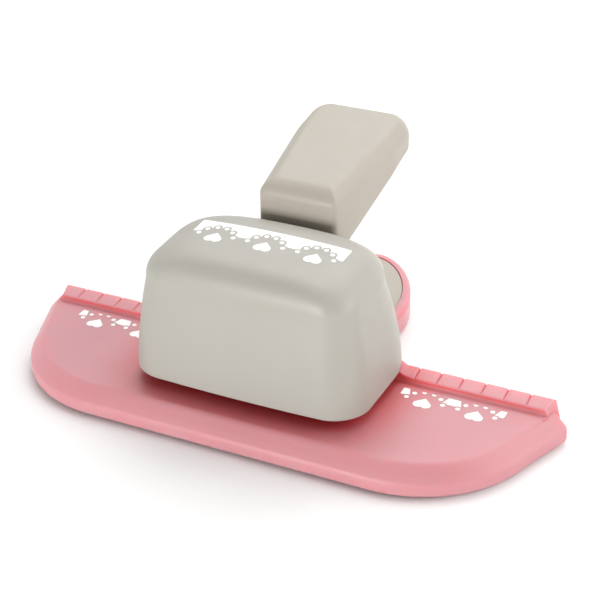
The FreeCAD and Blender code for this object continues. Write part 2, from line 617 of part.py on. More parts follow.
# ---------------------------------------------------------------- punch block
def make_punches():
    top = "holder_low + holder_thick"
    spots = [(x, y) for x in mirrored("retainer_screw_x")
             for y in ("-holder_front + retainer_screw_inset", "-holder_back - retainer_screw_inset")]
    stock = new_body("holder_body")
    plan = rounded(sketch_on(stock, "holder_plan", "XY", "holder_low"), "holder_half",
                   "-holder_front", "-holder_back", "holder_corner", "holder_rear")
    extrude(stock, "Pad", "holder_pad", plan, "holder_thick")
    bores = [rod(f"bush_bore_{i}", "bush_radius + seat_gap", x, "post_y", ("0", "30"))
             for i, x in enumerate(mirrored("post_x"))]
    threads = [rod(f"retainer_thread_{i}", "small_screw + seat_gap", x, y, (f"{top} - 4", "30"))
               for i, (x, y) in enumerate(spots)]
    finish(cut("holder", stock, pattern_holes("holder", "holder_low - 1", f"{top} + 1", "seat_gap")
               + bores + threads), "punch_holder")

    finish(group("heart_set", hearts("heart_punch", "punch_tip", top, 0)), "heart_punches")
    finish(group("dot_set", dot_rods("dot_punch", "dot_radius", "punch_tip", top)), "dot_punches")
    finish(waste_blade("blade", "punch_tip", top, "0"), "scallop_blade")

    plate = block("retainer_stock", mirrored("retainer_half"), ("-holder_front", "-holder_back"),
                  (top, f"{top} + retainer_thick"))
    clears = [rod(f"retainer_hole_{i}", "small_screw + seat_gap", x, y, ("0", "30"))
              for i, (x, y) in enumerate(spots)]
    finish(cut("retainer", plate, clears), "retainer_plate")
    screws = []
    for i, (x, y) in enumerate(spots):
        shank = rod(f"retainer_shank_{i}", "small_screw", x, y,
                    (f"{top} - retainer_bite", f"{top} + retainer_thick"))
        head = rod(f"retainer_head_{i}", "tiny_head", x, y,
                   (f"{top} + retainer_thick", f"{top} + retainer_thick + head_thick"))
        screws.append(fuse(f"retainer_screw_{i}", [shank, head]))
    finish(group("retainer_screw_set", screws), "retainer_screws")

    pad = block("pad_block", mirrored("pad_half"), ("-pad_front", "-pad_back"),
                (f"{top} + retainer_thick", f"{top} + retainer_thick + pad_thick"))
    finish(group("pad_whole", [pad]), "wear_pad")

    bushes = []
    for i, x in enumerate(mirrored("post_x")):
        sleeve = rod(f"bush_sleeve_{i}", "bush_radius", x, "post_y", ("holder_low", top))
        collar = rod(f"bush_collar_{i}", "bush_radius + collar", x, "post_y",
                     (top, f"{top} + collar_thick"))
        bore = rod(f"bush_inner_{i}", "post_radius + run_gap", x, "post_y", ("0", "30"))
        bushes.append(cut(f"post_bush_{i}", fuse(f"bush_stock_{i}", [sleeve, collar]), [bore]))
    finish(group("post_bush_set", bushes), "post_bushes")


# ---------------------------------------------------------------- lever
def trim_sides(body, name, inset):
    """Cuts a full-width body to the lever's plan, which widens backwards and then runs straight."""
    trim = sketch_on(body, name + "_trim", "XY")
    for sign in (-1, 1):
        slim = f"{sign} * (lever_front_half - ({inset}))"
        wide = f"{sign} * (lever_half - ({inset}))"
        past = f"{sign} * (lever_half + 5)"
        outline(trim, [(slim, "lever_front - 1"), (wide, "lever_wide_y"), (wide, "lever_end + 5"),
                       (past, "lever_end + 5"), (past, "lever_front - 1")])
    extrude(body, "Pocket", name + "_trim_cut", trim, "lever_crest + 5", back=True)


def lever_solid(name, inset):
    """The lever's wedge: a side view drawn through, trimmed to a plan that widens backwards."""
    body = new_body(name + "_body")
    front, end = f"(lever_front + ({inset}))", f"(lever_end - ({inset}))"
    side = sketch_on(body, name + "_side", "YZ")
    drop = "0" if inset == "0" else "-3"
    outline(side, [(front, f"lever_heel + {drop}"), ("lever_wide_y", f"lever_kink + {drop}"),
                   (end, f"lever_tip_low + {drop}"), (end, f"lever_crest - ({inset})"),
                   (front, f"lever_brow - ({inset})")])
    extrude(body, "Pad", name + "_pad", side, "2 * lever_half", both=True)
    trim_sides(body, name, inset)
    dress(body, "Fillet", name + "_tip_corners", f"lever_corner - ({inset})",
          lambda p: near(p.y, end), upright)
    return body


def make_lever():
    outer = lever_solid("lever_outer", "0")
    top_edges = [f"Edge{n}" for n, edge in enumerate(outer.Shape.Edges, start=1)
                 if lever_top_edge(edge)]
    base = outer.Tip
    soft = outer.newObject("PartDesign::Fillet", "lever_soft_edge")
    soft.Base = (base, top_edges)
    soft.setExpression("Radius", bound("lever_edge"))
    doc.recompute()
    inner = lever_solid("lever_inner", "wall")
    rib = block("lever_rib", mirrored("arm_inner - slip"), ("rib_front", "rib_back"),
                ("rib_low", "rib_high"))
    shell = cut("lever_hollow", outer, [cut("lever_cavity", inner, [rib])])
    mouth = block("lever_mouth", mirrored("arm_outer + mouth_gap"),
                  ("lever_front - 1", "lever_front + wall + 1"), ("lever_heel - 1", "heel_open"))
    pins = [rod(f"lever_pin_bore_{i}", "screw_radius + seat_gap", mirrored("arm_outer + slip"),
                y, z, "x") for i, (y, z) in enumerate(LEVER_PINS)]
    finish(cut("lever_solid_cut", shell, [mouth] + pins), "lever_shell")

    cover = new_body("under_body")
    side = sketch_on(cover, "under_side", "YZ")
    climb = "(lever_kink - lever_heel) / (lever_wide_y - lever_front)"
    level = "(lever_tip_low - lever_kink) / (lever_end - lever_wide_y)"
    line = [("under_front", f"lever_heel + {climb} * (under_front - lever_front) + under_sink"),
            ("lever_wide_y", "lever_kink + under_sink"),
            ("under_end", f"lever_kink + {level} * (under_end - lever_wide_y) + under_sink")]
    outline(side, line + [(back, f"{up} + under_thick") for back, up in reversed(line)])
    extrude(cover, "Pad", "under_pad", side, "2 * lever_half", both=True)
    trim_sides(cover, "under", "wall + under_gap")
    dress(cover, "Fillet", "under_corners", "lever_corner - wall",
          lambda p: near(p.y, "under_end"), upright)
    finish(cover, "lever_underside")

    for label, low, high in (("arm_left", "-arm_outer", "-arm_inner"),
                             ("arm_right", "arm_inner", "arm_outer")):
        finish(arm(label, low, high), label)
    pins = []
    for i, (y, z) in enumerate(LEVER_PINS):
        pins.append(rod(f"lever_pin_{i}", "screw_radius", mirrored("arm_outer"), y, z, "x"))
    finish(group("lever_pin_set", pins), "lever_pins")

    bushes = []
    for i, (low, high) in enumerate((("-ear_inner + bush_float", "-arm_inner + bush_float"),
                                     ("arm_inner - bush_float", "ear_inner - bush_float"))):
        sleeve = rod(f"pivot_sleeve_{i}", "pivot_bush", (low, high), "pivot_y", "pivot_z", "x")
        bore = rod(f"pivot_sleeve_bore_{i}", "pivot_pin + run_gap", ("-20", "20"), "pivot_y",
                   "pivot_z", "x")
        bushes.append(cut(f"pivot_bush_{i}", sleeve, [bore]))
    finish(group("pivot_bush_set", bushes), "pivot_bushes")

    shaft = rod("roller_shaft", "roller_pin", mirrored("arm_outer + roller_proud"), "roller_y",
                "roller_z", "x")
    finish(group("roller_shaft_whole", [shaft]), "roller_pin")
    wheel = rod("wheel", "roller_radius", mirrored("pad_half"), "roller_y", "roller_z", "x")
    bore = rod("wheel_bore", "roller_pin + run_gap", ("-20", "20"), "roller_y", "roller_z", "x")
    finish(cut("roller", wheel, [bore]), "press_roller")


# back and up from the deck's frame: the two cross pins that join the arms to the shell
LEVER_PINS = [("10.5", "41"), ("18.5", "43.4")]
# the cranked strap, from the pivot eye along its lower edge to its back end and home again
STRAP = [("pivot_y", "pivot_z - eye_radius"), ("roller_y", "roller_z - 3.6"), ("-4", "27.2"),
         ("6", "34"), ("22", "41"), ("22", "46"), ("6", "41"), ("3.6", "34.8"), ("-3", "32.6"),
         ("roller_y", "roller_z + eye_radius"), ("pivot_y", "pivot_z + eye_radius")]


def lever_top_edge(edge):
    """True for the edges round the lever's top face: high for their distance back."""
    def high(point):
        slope = value("(lever_crest - lever_brow) / (lever_end - lever_front)")
        top = value("lever_brow") + slope * (point.y - value("lever_front"))
        return abs(point.z - top) < 0.05
    ends = [vertex.Point for vertex in edge.Vertexes]
    return len(ends) == 2 and all(high(point) for point in ends)


def arm(name, low, high):
    """One steel side arm: two eyes joined by a cranked strap that runs up into the lever."""
    body = new_body(name + "_body")
    strap = outline(sketch_on(body, name + "_strap", "YZ", low), STRAP)
    extrude(body, "Pad", name + "_plate", strap, f"({high}) - ({low})")
    eye = rod(name + "_eye", "eye_radius", (low, high), "pivot_y", "pivot_z", "x")
    bores = [rod(name + "_pivot_bore", "pivot_bush + seat_gap", ("-20", "20"), "pivot_y",
                 "pivot_z", "x"),
             rod(name + "_roller_bore", "roller_pin + seat_gap", ("-20", "20"), "roller_y",
                 "roller_z", "x")]
    bores += [rod(f"{name}_pin_bore_{i}", "screw_radius + seat_gap", ("-20", "20"), y, z, "x")
              for i, (y, z) in enumerate(LEVER_PINS)]
    return cut(name + "_solid", fuse(name + "_whole", [body, eye]), bores)


# ---------------------------------------------------------------- housing
# rings of the upright wall: share of the wall's height, from its foot to its shoulder
WALL_STEPS = (0, 0.33, 0.66, 1)
# turns of the round shoulder, in degrees
SHOULDER_STEPS = (18, 34, 48, 61, 74)


def housing_rings():
    """Height, inset from the foot's outline and rear corner radius of each ring, as formulas.

    The wall leans in by wall_lean over its height, a little more with each step, and the
    shoulder above it is a quarter of an ellipse, shoulder_run wide and shoulder_rise tall.
    """
    rings = []
    for share in WALL_STEPS:
        rings.append((f"housing_low + {share} * (shoulder_low - housing_low)",
                      f"(wall_lean * {share} ^ 1.6)", "housing_rear"))
    for turn in SHOULDER_STEPS:
        inset = f"shoulder_run * (1 - cos({turn} * 1 deg))"
        rings.append((f"shoulder_low + shoulder_rise * sin({turn} * 1 deg)",
                      f"(wall_lean + {inset})", f"housing_rear - 0.75 * {inset}"))
    return rings


def housing_loft(body, kind, name, inset, stretch):
    """Rounded rings stacked up the housing and lofted; inset brings every ring inwards."""
    rings = []
    for i, (height, lean, rear) in enumerate(housing_rings()):
        level = f"{height} - ({inset})" if i else f"{height} - ({stretch})"
        sketch = sketch_on(body, f"{name}_ring_{i}", "XY", level)
        rounded(sketch, f"housing_half - {lean} - ({inset})",
                f"-(housing_front - 0.7 * {lean} - ({inset}))",
                f"housing_back - 1.4 * {lean} - ({inset})",
                f"housing_corner - ({inset})", f"{rear} - ({inset})")
        sketch.Visibility = False
        rings.append(sketch)
    loft = body.newObject("PartDesign::" + kind, name)
    loft.Profile = rings[0]
    loft.Sections = rings[1:]
    loft.Ruled = True
    doc.recompute()
    return loft


def make_housing():
    body = new_body("housing_body")
    housing_loft(body, "AdditiveLoft", "housing_outer", "0", "0")
    core = new_body("housing_core")
    housing_loft(core, "AdditiveLoft", "housing_inner", "wall", "1")
    bosses = [rod(f"boss_{i}", "boss_wide", x, y, ("riser_top", "boss_top"))
              for i, (x, y) in enumerate(HOUSING_SPOTS)]
    shell = cut("housing_shell", body, [cut("housing_cavity", core, bosses)])
    slot = block("lever_slot", mirrored("slot_half"), ("slot_front", "40"), ("slot_low", "60"))
    seat = block("riser_seat", ("-50", "50"), ("-fence_depth - 0.3", "40"), ("0", "riser_top"))
    threads = [rod(f"boss_thread_{i}", "screw_radius + seat_gap", x, y,
                   ("0", "boss_top - boss_skin"))
               for i, (x, y) in enumerate(HOUSING_SPOTS)]
    finish(cut("housing_solid", shell, [slot, seat] + threads), "housing")

    screws = []
    for i, (x, y) in enumerate(HOUSING_SPOTS):
        shank = rod(f"housing_shank_{i}", "screw_radius", x, y,
                    ("-sink_floor", "boss_top - boss_skin - slip"))
        head = rod(f"housing_head_{i}", "screw_head", x, y, ("-sink_floor - head_thick", "-sink_floor"))
        screws.append(fuse(f"housing_screw_{i}", [shank, head]))
    finish(group("housing_screw_set", screws), "housing_screws")


# ---------------------------------------------------------------- build, check and write
make_base()
make_bottom_cover()
make_die_set()
make_bracket()
make_punches()
make_lever()
make_housing()
doc.recompute()

for item in doc.Objects:
    if "Invalid" in item.State or "Error" in item.State:
        raise RuntimeError(f"{item.Name} ({item.Label}) failed: {item.State}")
os.makedirs("parts", exist_ok=True)
for item in FINISHED:
    shape = item.Shape
    if shape.isNull() or not shape.isValid() or not shape.Solids:
        raise RuntimeError(f"{item.Label} has no valid solid")
    print(f"{item.Label:16s} solids {len(shape.Solids):2d}  volume {shape.Volume:10.1f}")
    shape.exportStep(f"parts/{item.Label}.step")
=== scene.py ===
"""Looks of a lever border punch: tray with its ruler, domed head, wedge lever, printed border.

Every shape is a surface worked out about the deck, in millimetres: X along the ruler, Y back from
the ruler's rear face, Z up from the deck. Points turn into metres in the frame's own axes only when
a piece is added. Each size is a property of the scene.
"""
import json

import bmesh
import bpy
import numpy as np
from bpy.props import FloatProperty, FloatVectorProperty, IntProperty, PointerProperty
from mathutils import Matrix, Vector


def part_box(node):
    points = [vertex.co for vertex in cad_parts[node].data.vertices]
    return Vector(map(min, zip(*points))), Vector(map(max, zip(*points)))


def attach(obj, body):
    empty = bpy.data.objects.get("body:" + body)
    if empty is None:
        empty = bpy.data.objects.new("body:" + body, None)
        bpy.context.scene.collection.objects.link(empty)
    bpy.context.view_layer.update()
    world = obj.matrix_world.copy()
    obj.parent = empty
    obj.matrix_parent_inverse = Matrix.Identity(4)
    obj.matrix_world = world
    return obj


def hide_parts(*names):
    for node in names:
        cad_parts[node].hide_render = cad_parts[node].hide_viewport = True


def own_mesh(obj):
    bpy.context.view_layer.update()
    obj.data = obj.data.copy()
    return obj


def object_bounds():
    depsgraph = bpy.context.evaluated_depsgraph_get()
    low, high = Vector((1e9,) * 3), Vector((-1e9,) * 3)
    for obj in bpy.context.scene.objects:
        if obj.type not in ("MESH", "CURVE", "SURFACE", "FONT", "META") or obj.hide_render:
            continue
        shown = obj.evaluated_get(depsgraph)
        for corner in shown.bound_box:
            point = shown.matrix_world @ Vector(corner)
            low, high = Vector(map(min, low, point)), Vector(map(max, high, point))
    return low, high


bl_info = {
    "name": "Border punch",
    "version": (1, 0, 0),
    "blender": (4, 5, 0),
    "location": "View3D > Sidebar > Border punch",
    "description": "Builds the visible surfaces of a lever border punch round its packed parts",
    "category": "Add Mesh",
}

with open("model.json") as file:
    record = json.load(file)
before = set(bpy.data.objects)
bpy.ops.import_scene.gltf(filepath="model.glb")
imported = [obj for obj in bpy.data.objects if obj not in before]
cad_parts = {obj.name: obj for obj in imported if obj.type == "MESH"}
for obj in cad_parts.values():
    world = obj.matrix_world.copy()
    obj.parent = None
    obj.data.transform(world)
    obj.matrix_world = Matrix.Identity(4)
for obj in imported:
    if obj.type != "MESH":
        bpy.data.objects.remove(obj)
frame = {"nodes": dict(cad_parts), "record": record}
CAD_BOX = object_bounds()
MM = 0.001
TRAY_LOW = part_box("base_tray")[0]
SHARP_ANGLE = np.radians(40)
NOISE_RANGE = (0.3, 0.7)


# ---------------------------------------------------------------- sizes and colours
def length(label, description, millimetres):
    """A size in metres whose default is given in millimetres."""
    return FloatProperty(name=label, description=description, default=millimetres * MM,
                         unit="LENGTH", subtype="DISTANCE", precision=5)


def ratio(label, description, number):
    return FloatProperty(name=label, description=description, default=number, precision=4)


def angle(label, description, degrees):
    return FloatProperty(name=label, description=description, default=np.radians(degrees),
                         unit="ROTATION", subtype="ANGLE")


def power(label, description, watts):
    return FloatProperty(name=label, description=description, default=watts, unit="POWER")


def colour(label, description, red, green, blue):
    return FloatVectorProperty(name=label, description=description, default=(red, green, blue),
                               subtype="COLOR", min=0, max=1)


class PUNCH_PG_tray(bpy.types.PropertyGroup):
    """Tray, ruler, raised bridge and tail."""
    back_half: length("Back half width", "Half the outline's width at its straight back", 82.2)
    front: length("Front", "From the ruler's rear face to the front edge", 45.4)
    depth: length("Depth", "From the deck down to the tray's foot", 8)
    lean: angle("Side lean", "How far the two sides turn in towards the front", 20)
    front_corner: length("Front corner", "Radius of the two front corners", 34.3)
    back_corner: length("Back corner", "Radius of the two back corners", 3)
    bevel: length("Bevel", "Width of the bevel round the deck", 3.6)
    bevel_drop: length("Bevel drop", "Height of the bevel round the deck", 4.5)
    bevel_soft: length("Bevel softness", "Radius at the top and bottom of the bevel", 2.4)
    hem: length("Hem", "Radius round the foot of the wall", 0.8)
    skirt: length("Skirt", "Thickness of the wall, seen from below", 5)
    skin: length("Skin", "Thickness of the deck", 2.4)
    ruler_depth: length("Ruler depth", "Front to back of the raised ruler", 5.3)
    ruler_foot: length("Ruler foot", "Height of the ruler's front edge", 1.8)
    ruler_top: length("Ruler top", "Height of the ruler's rear edge", 2.4)
    foot_curve: length("Foot curve", "Hollow radius between the deck and the ruler", 0.9)
    mark_step: length("Mark step", "From one ruler mark to the next", 6.35)
    mark_half: length("Mark half width", "Half the width of a mark at the rear edge", 0.5)
    mark_deep: length("Mark depth", "Depth of a mark at the rear edge", 0.5)
    bridge_half: length("Bridge half width", "Half the width of the raised bridge", 31.8)
    bridge_back: length("Bridge back", "From the ruler's rear face to the bridge's back", 11.8)
    bridge_top: length("Bridge top", "Height of the bridge that carries the head", 4)
    bridge_corner: length("Bridge corner", "Radius of the bridge's back corners", 16)
    flank: length("Flank", "Length of the hollow sweep from ruler to bridge", 5.8)
    tail_half: length("Tail half width", "Half the width of the tail", 19.5)
    tail_straight: length("Tail straight", "Where the tail starts to narrow", 34.2)
    tail_end: length("Tail end", "From the ruler's rear face to the tail's tip", 62.5)
    tail_power: ratio("Tail power", "Roundness of the tail's tip, 2 for an ellipse", 1.65)
    rim: length("Rim", "Width of the tail's raised rim", 2.5)
    panel_front: length("Panel front", "Where the tail's panel starts", 15)
    panel_sink: length("Panel sink", "Depth of the panel below the rim", 0.2)
    panel_thick: length("Panel thickness", "Thickness of the tail's panel", 1.2)


class PUNCH_PG_head(bpy.types.PropertyGroup):
    """The domed head over the die."""
    low: length("Foot", "Height of the head's lower edge", 3)
    half: length("Half width", "Half the width at the foot", 34.3)
    front: length("Front", "From the ruler's rear face to the head's front", 37)
    back: length("Back", "From the ruler's rear face to the head's back", 13)
    corner: length("Front corner", "Radius of the front corners at the shoulder", 8)
    corner_foot: length("Foot corner", "Radius of the front corners at the foot", 10)
    power: ratio("Shoulder power", "Squareness of the shoulder, 2 for an ellipse", 2.6)
    rear: length("Rear corner", "Radius of the rear corners at the foot", 22)
    shoulder: length("Shoulder", "Height where the wall turns into the dome", 30)
    lean: length("Wall lean", "How far the wall leans in up to the shoulder", 3.5)
    run: length("Shoulder run", "Width of the rounded shoulder", 12)
    crown: length("Crown", "Height of the dome over the punches", 40.2)
    crown_place: length("Crown place", "How far in front of the ruler's rear face that is", 19.7)
    crown_slope: ratio("Crown slope", "Rise of the dome towards the back", 0.062)
    crown_fall: ratio("Crown fall", "Fall of the dome to each side, per millimetre squared", 0.0014)
    back_fall: ratio("Back fall", "Extra fall behind the dome, per millimetre squared", 0.03)
    bow: length("Front bow", "How far the middle of the front stands out", 1)
    wall: length("Wall", "Thickness of the shell", 2)
    slot_half: length("Slot half width", "Half the width of the lever's slot", 13.6)
    slot_low: length("Slot foot", "Height of the lever slot's lower edge", 16.5)
    slot_front: length("Slot front", "Where the slot starts behind the ruler's rear face", 1)


class PUNCH_PG_lever(bpy.types.PropertyGroup):
    """The wedge-shaped lever."""
    front: length("Front", "Where the lever's front face stands", 1.5)
    front_half: length("Front half width", "Half the width at the front face", 11.6)
    wide_place: length("Wide place", "Where the lever reaches its full width", 33)
    half: length("Half width", "Half of the full width", 15.9)
    end: length("End", "Where the tip ends", 48.8)
    top_front: length("Top at the front", "Height of the top face at the front", 48.1)
    top_end: length("Top at the end", "Height of the top face at the tip", 56)
    edge_front: length("Edge at the front", "Height of the top face's border at the front", 46.0)
    edge_end: length("Edge at the end", "Height of the top face's border at the tip", 52.3)
    heel: length("Heel", "Height of the underside at the front face", 28.7)
    kink: length("Kink", "Height of the underside where it levels out", 44)
    kink_place: length("Kink place", "Where the underside levels out", 35)
    tip_low: length("Tip underside", "Height of the underside at the tip", 48)
    corner: length("Tip corner", "Radius of the tip's corners", 7)
    front_corner: length("Front corner", "Radius of the front face's upright edges", 1.6)
    border: length("Border", "Width of the soft border round the top face", 4.2)
    wall: length("Wall", "Thickness of the shell", 2)
    mouth_half: length("Mouth half width", "Half the width of the opening for the arms", 9.7)
    mouth_top: length("Mouth top", "Height of the opening for the arms", 36)


class PUNCH_PG_border(bpy.types.PropertyGroup):
    """The printed border, the same figure that the die cuts."""
    step: length("Repeat", "From one heart to the next", 14.627)
    deck_place: length("Deck place", "How far in front of the ruler the deck's hearts are", 13.76)
    head_place: length("Head place", "How far in front of the ruler the head's hearts are", 19.67)
    heart: length("Heart side", "Side of the square in the heart", 2.9)
    heart_lift: length("Heart lift", "From the repeat's middle back to the heart's", 0.9)
    dot: length("Dot radius", "Radius of a dot", 0.66)
    scallop: length("Scallop radius", "Radius of the scallop round a dot", 1.3)
    band_low: length("Band front", "From the hearts back to the band's front edge", 2.7)
    band_high: length("Band back", "From the hearts back to the band's rear edge", 8.6)
    deck_edge: length("Deck edge", "How far in front of the ruler the deck's print stops", 8)
    film: length("Film", "Thickness of the print above the surface", 0.04)
    sunk: length("Sunk", "Depth of the print below the surface", 0.25)


class PUNCH_PG_finish(bpy.types.PropertyGroup):
    """Colours of the mouldings, metals and print, and the deep red painted as shade in the pink's
    hollows.
    """
    pink: colour("Pink", "Tray and ruler", 0.60, 0.275, 0.30)
    # Painted shade: this deep red is mixed into the pink where other surfaces shut it in, in place
    # of light bounced red in the hollows.
    hollow: colour("Hollow pink", "The pink's deeper tone in its hollows", 0.62, 0.055, 0.06)
    cream: colour("Cream", "Lever and tail panel", 0.42, 0.38, 0.325)
    shell: colour("Shell", "Head and bottom cover", 0.385, 0.37, 0.33)
    ink: colour("Ink", "Printed border", 0.93, 0.93, 0.91)
    steel: colour("Steel", "Plates, bracket and arms", 0.56, 0.57, 0.58)
    tool: colour("Tool steel", "Die, punches and roller", 0.42, 0.43, 0.45)
    bright: colour("Bright steel", "Pins and posts", 0.74, 0.75, 0.76)
    zinc: colour("Zinc", "Screws", 0.62, 0.63, 0.63)
    spring: colour("Spring", "Springs and clips", 0.34, 0.35, 0.37)
    bronze: colour("Bronze", "Bushes", 0.62, 0.42, 0.20)
    rubber: colour("Rubber", "Feet", 0.055, 0.055, 0.06)
    floor: colour("Floor", "Table top", 0.93, 0.93, 0.927)


class PUNCH_PG_stage(bpy.types.PropertyGroup):
    """Camera, floor and lights."""
    eye: FloatVectorProperty(name="Eye", description="Place of the camera", subtype="TRANSLATION",
                             unit="LENGTH", default=(0.164711, -0.346077, 0.231845))
    azimuth: angle("Azimuth", "Turn of the view to the right of the front", 25.8147)
    elevation: angle("Elevation", "Height of the view above level", 29.0278)
    roll: angle("Roll", "Tilt of the picture", -0.5011)
    lens: FloatProperty(name="Lens", description="Focal length for a 36 mm wide sensor",
                        default=92.14, subtype="DISTANCE_CAMERA")
    floor_half: length("Floor half width", "Half the width of the floor", 1500)
    sky: ratio("Sky", "Brightness of the surrounding light", 1.05)
    dim: ratio("Dim front", "Share of that brightness high in front", 0.1)
    key: power("Key", "Power of the main light", 0.1)
    fill: power("Fill", "Power of the side light", 3.0)
    top: power("Top", "Power of the light above", 5.4)
    low: power("Low", "Power of the low front light", 7.6)
    grid: IntProperty(name="Floor cells", description="Cells along one side of the floor",
                      default=24, min=1)


GROUPS = {"tray": PUNCH_PG_tray, "head": PUNCH_PG_head, "lever": PUNCH_PG_lever,
          "border": PUNCH_PG_border, "finish": PUNCH_PG_finish, "stage": PUNCH_PG_stage}


class Sizes:
    """A group's lengths in millimetres and its other numbers as they are."""

    def __init__(self, group):
        for name, prop in group.bl_rna.properties.items():
            if name not in {"rna_type", "name"}:
                shown = getattr(group, name)
                setattr(self, name, shown / MM if prop.unit == "LENGTH" and not prop.is_array
                        else shown)


def sizes(group):
    return Sizes(getattr(bpy.context.scene, "punch_" + group))


def deck_origin():
    """The deck's own origin in the frame: behind the tray's front edge and above its foot."""
    tray = sizes("tray")
    return np.array([0, TRAY_LOW.y + tray.front * MM, TRAY_LOW.z + tray.depth * MM])


# ---------------------------------------------------------------- outlines and profiles
def inset_plan(corners, insets):
    """Corners of a convex plan after side k, from corner k to the next, moves in by insets[k].

    Each new corner is where two neighbouring sides meet once they have moved.
    """
    corners = np.asarray(corners, float)
    along = np.roll(corners, -1, 0) - corners
    along /= np.linalg.norm(along, axis=1, keepdims=True)
    inward = np.stack([-along[:, 1], along[:, 0]], 1)
    offset = (inward * corners).sum(1) + insets
    sides = np.stack([np.roll(inward, 1, 0), inward], 1)
    return np.linalg.solve(sides, np.stack([np.roll(offset, 1), offset], 1)[..., None])[..., 0]


def rounded_plan(corners, radii, arc_steps=12, side_steps=10):
    """A closed plan: at each corner an arc tangent to both sides, then the side cut evenly.

    An arc's point is its middle plus radius times (sine of the turn along the side before it,
    minus cosine of the turn along that side's inward normal).
    """
    corners, radii = np.asarray(corners, float), np.asarray(radii, float)
    after = np.roll(corners, -1, 0) - corners
    after /= np.linalg.norm(after, axis=1, keepdims=True)
    before = np.roll(after, 1, 0)
    inward = np.stack([-before[:, 1], before[:, 0]], 1)
    turn = np.arccos(np.clip((before * after).sum(1), -1, 1))
    middle = corners - before * (radii * np.tan(turn / 2))[:, None] + inward * radii[:, None]
    sweep = (turn[:, None] * np.linspace(0, 1, arc_steps))[..., None]
    spoke = before[:, None] * np.sin(sweep) - inward[:, None] * np.cos(sweep)
    arcs = middle[:, None] + radii[:, None, None] * spoke
    start, end = arcs[:, -1], np.roll(arcs[:, 0], -1, 0)
    share = np.linspace(0, 1, side_steps + 2)[1:-1, None]
    sides = start[:, None] + (end - start)[:, None] * share
    return np.concatenate([arcs, sides], 1).reshape(-1, 2)


def soft_profile(corners, radii, steps=6):
    """An open line in any number of columns whose inner corners are rounded by tangent arcs.

    A point of an arc is the arc's start plus radius times (sine of the turn along the line before
    it, one minus cosine of the turn along the normal towards the line after it).
    """
    corners = np.asarray(corners, float)
    radii = np.asarray(radii, float)[:, None]
    course = np.diff(corners, axis=0)
    course /= np.linalg.norm(course, axis=1, keepdims=True)
    before, after = course[:-1], course[1:]
    cosine = np.clip((before * after).sum(1, keepdims=True), -1, 1)
    turn = np.arccos(cosine)
    normal = (after - before * cosine) / np.maximum(np.sin(turn), 1e-9)
    start = corners[1:-1] - before * radii * np.tan(turn / 2)
    sweep = (turn * np.linspace(0, 1, steps))[..., None]
    arcs = start[:, None] + radii[:, None] * (before[:, None] * np.sin(sweep)
                                              + normal[:, None] * (1 - np.cos(sweep)))
    return np.concatenate([corners[:1], arcs.reshape(-1, corners.shape[1]), corners[-1:]])


def lifted(plan, height):
    """A plan's points in space, at one height or at a height for every point."""
    return np.column_stack([plan, np.broadcast_to(height, len(plan))])


# ---------------------------------------------------------------- skins and pieces
def closed_loft(rings):
    """Points and faces of a closed skin: rings joined by quads, with a fan over each end."""
    rings = np.asarray(rings, float)
    rows, count = rings.shape[:2]
    points = np.concatenate([rings.reshape(-1, 3), rings[[0, -1]].mean(1)])
    index = np.arange(rows * count).reshape(rows, count)
    beside = np.roll(index, -1, 1)
    quads = np.stack([index[:-1], index[1:], beside[1:], beside[:-1]], -1).reshape(-1, 4)
    first = np.stack([index[0], beside[0], np.full(count, rows * count)], -1)
    last = np.stack([beside[-1], index[-1], np.full(count, rows * count + 1)], -1)
    return outward(points, quads, np.concatenate([first, last]))


def outward(points, quads, fans):
    """The same skin with every face turned over if the space it encloses comes out negative."""
    triangles = np.concatenate([quads[:, [0, 1, 2]], quads[:, [0, 2, 3]], fans])
    a, b, c = (points[triangles[:, i]] for i in range(3))
    if (a * np.cross(b, c)).sum() < 0:
        quads, fans = quads[:, ::-1], fans[:, ::-1]
    return points, quads.tolist() + fans.tolist()


def box_skin(low, high):
    """A plain box, used only to cut openings or to thicken the underside."""
    (x0, y0, z0), (x1, y1, z1) = low, high
    plan = np.array([(x0, y0), (x1, y0), (x1, y1), (x0, y1)])
    return closed_loft([lifted(plan, z0), lifted(plan, z1)])


def disc_skin(x, y, radius, low, high, steps=32):
    """An upright cylinder: a circle carried from one height to another."""
    turn = np.linspace(0, 2 * np.pi, steps, endpoint=False)
    plan = np.column_stack([x + radius * np.cos(turn), y + radius * np.sin(turn)])
    return closed_loft([lifted(plan, low), lifted(plan, high)])


def new_object(name, skins):
    """One object from closed skins, still in millimetres about the deck."""
    points, faces, count = [], [], 0
    for skin_points, skin_faces in skins:
        points.append(skin_points)
        faces += [[corner + count for corner in face] for face in skin_faces]
        count += len(skin_points)
    mesh = bpy.data.meshes.new(name)
    mesh.from_pydata(np.concatenate(points), [], faces)
    thing = bpy.data.objects.new(name, mesh)
    bpy.context.scene.collection.objects.link(thing)
    return thing


def combine(thing, skins, operation):
    """Adds or cuts each skin with a boolean, then keeps the result as the object's mesh."""
    for number, skin in enumerate(skins):
        tool = new_object(f"{thing.name}_tool", [skin])
        step = thing.modifiers.new(f"{operation.lower()}_{number}", "BOOLEAN")
        step.operation, step.solver, step.object = operation, "MANIFOLD", tool
        graph = bpy.context.evaluated_depsgraph_get()
        mesh = bpy.data.meshes.new_from_object(thing.evaluated_get(graph))
        thing.modifiers.clear()
        thing.data = mesh
        bpy.data.objects.remove(tool)
    if not thing.data.polygons:
        raise RuntimeError(f"{thing.name} came out empty")


def finish_piece(thing, material, body, slot, *nodes):
    """Shades a piece, gives it its material and body, and says which CAD nodes it stands for."""
    thing.data.name = thing.name
    thing.data.transform(Matrix.Translation(deck_origin()) @ Matrix.Scale(MM, 4))
    thing.data.shade_smooth()
    thing.data.set_sharp_from_angle(angle=SHARP_ANGLE)
    thing.data.materials.clear()
    thing.data.materials.append(material)
    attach(thing, body)
    if nodes:
        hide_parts(*nodes)


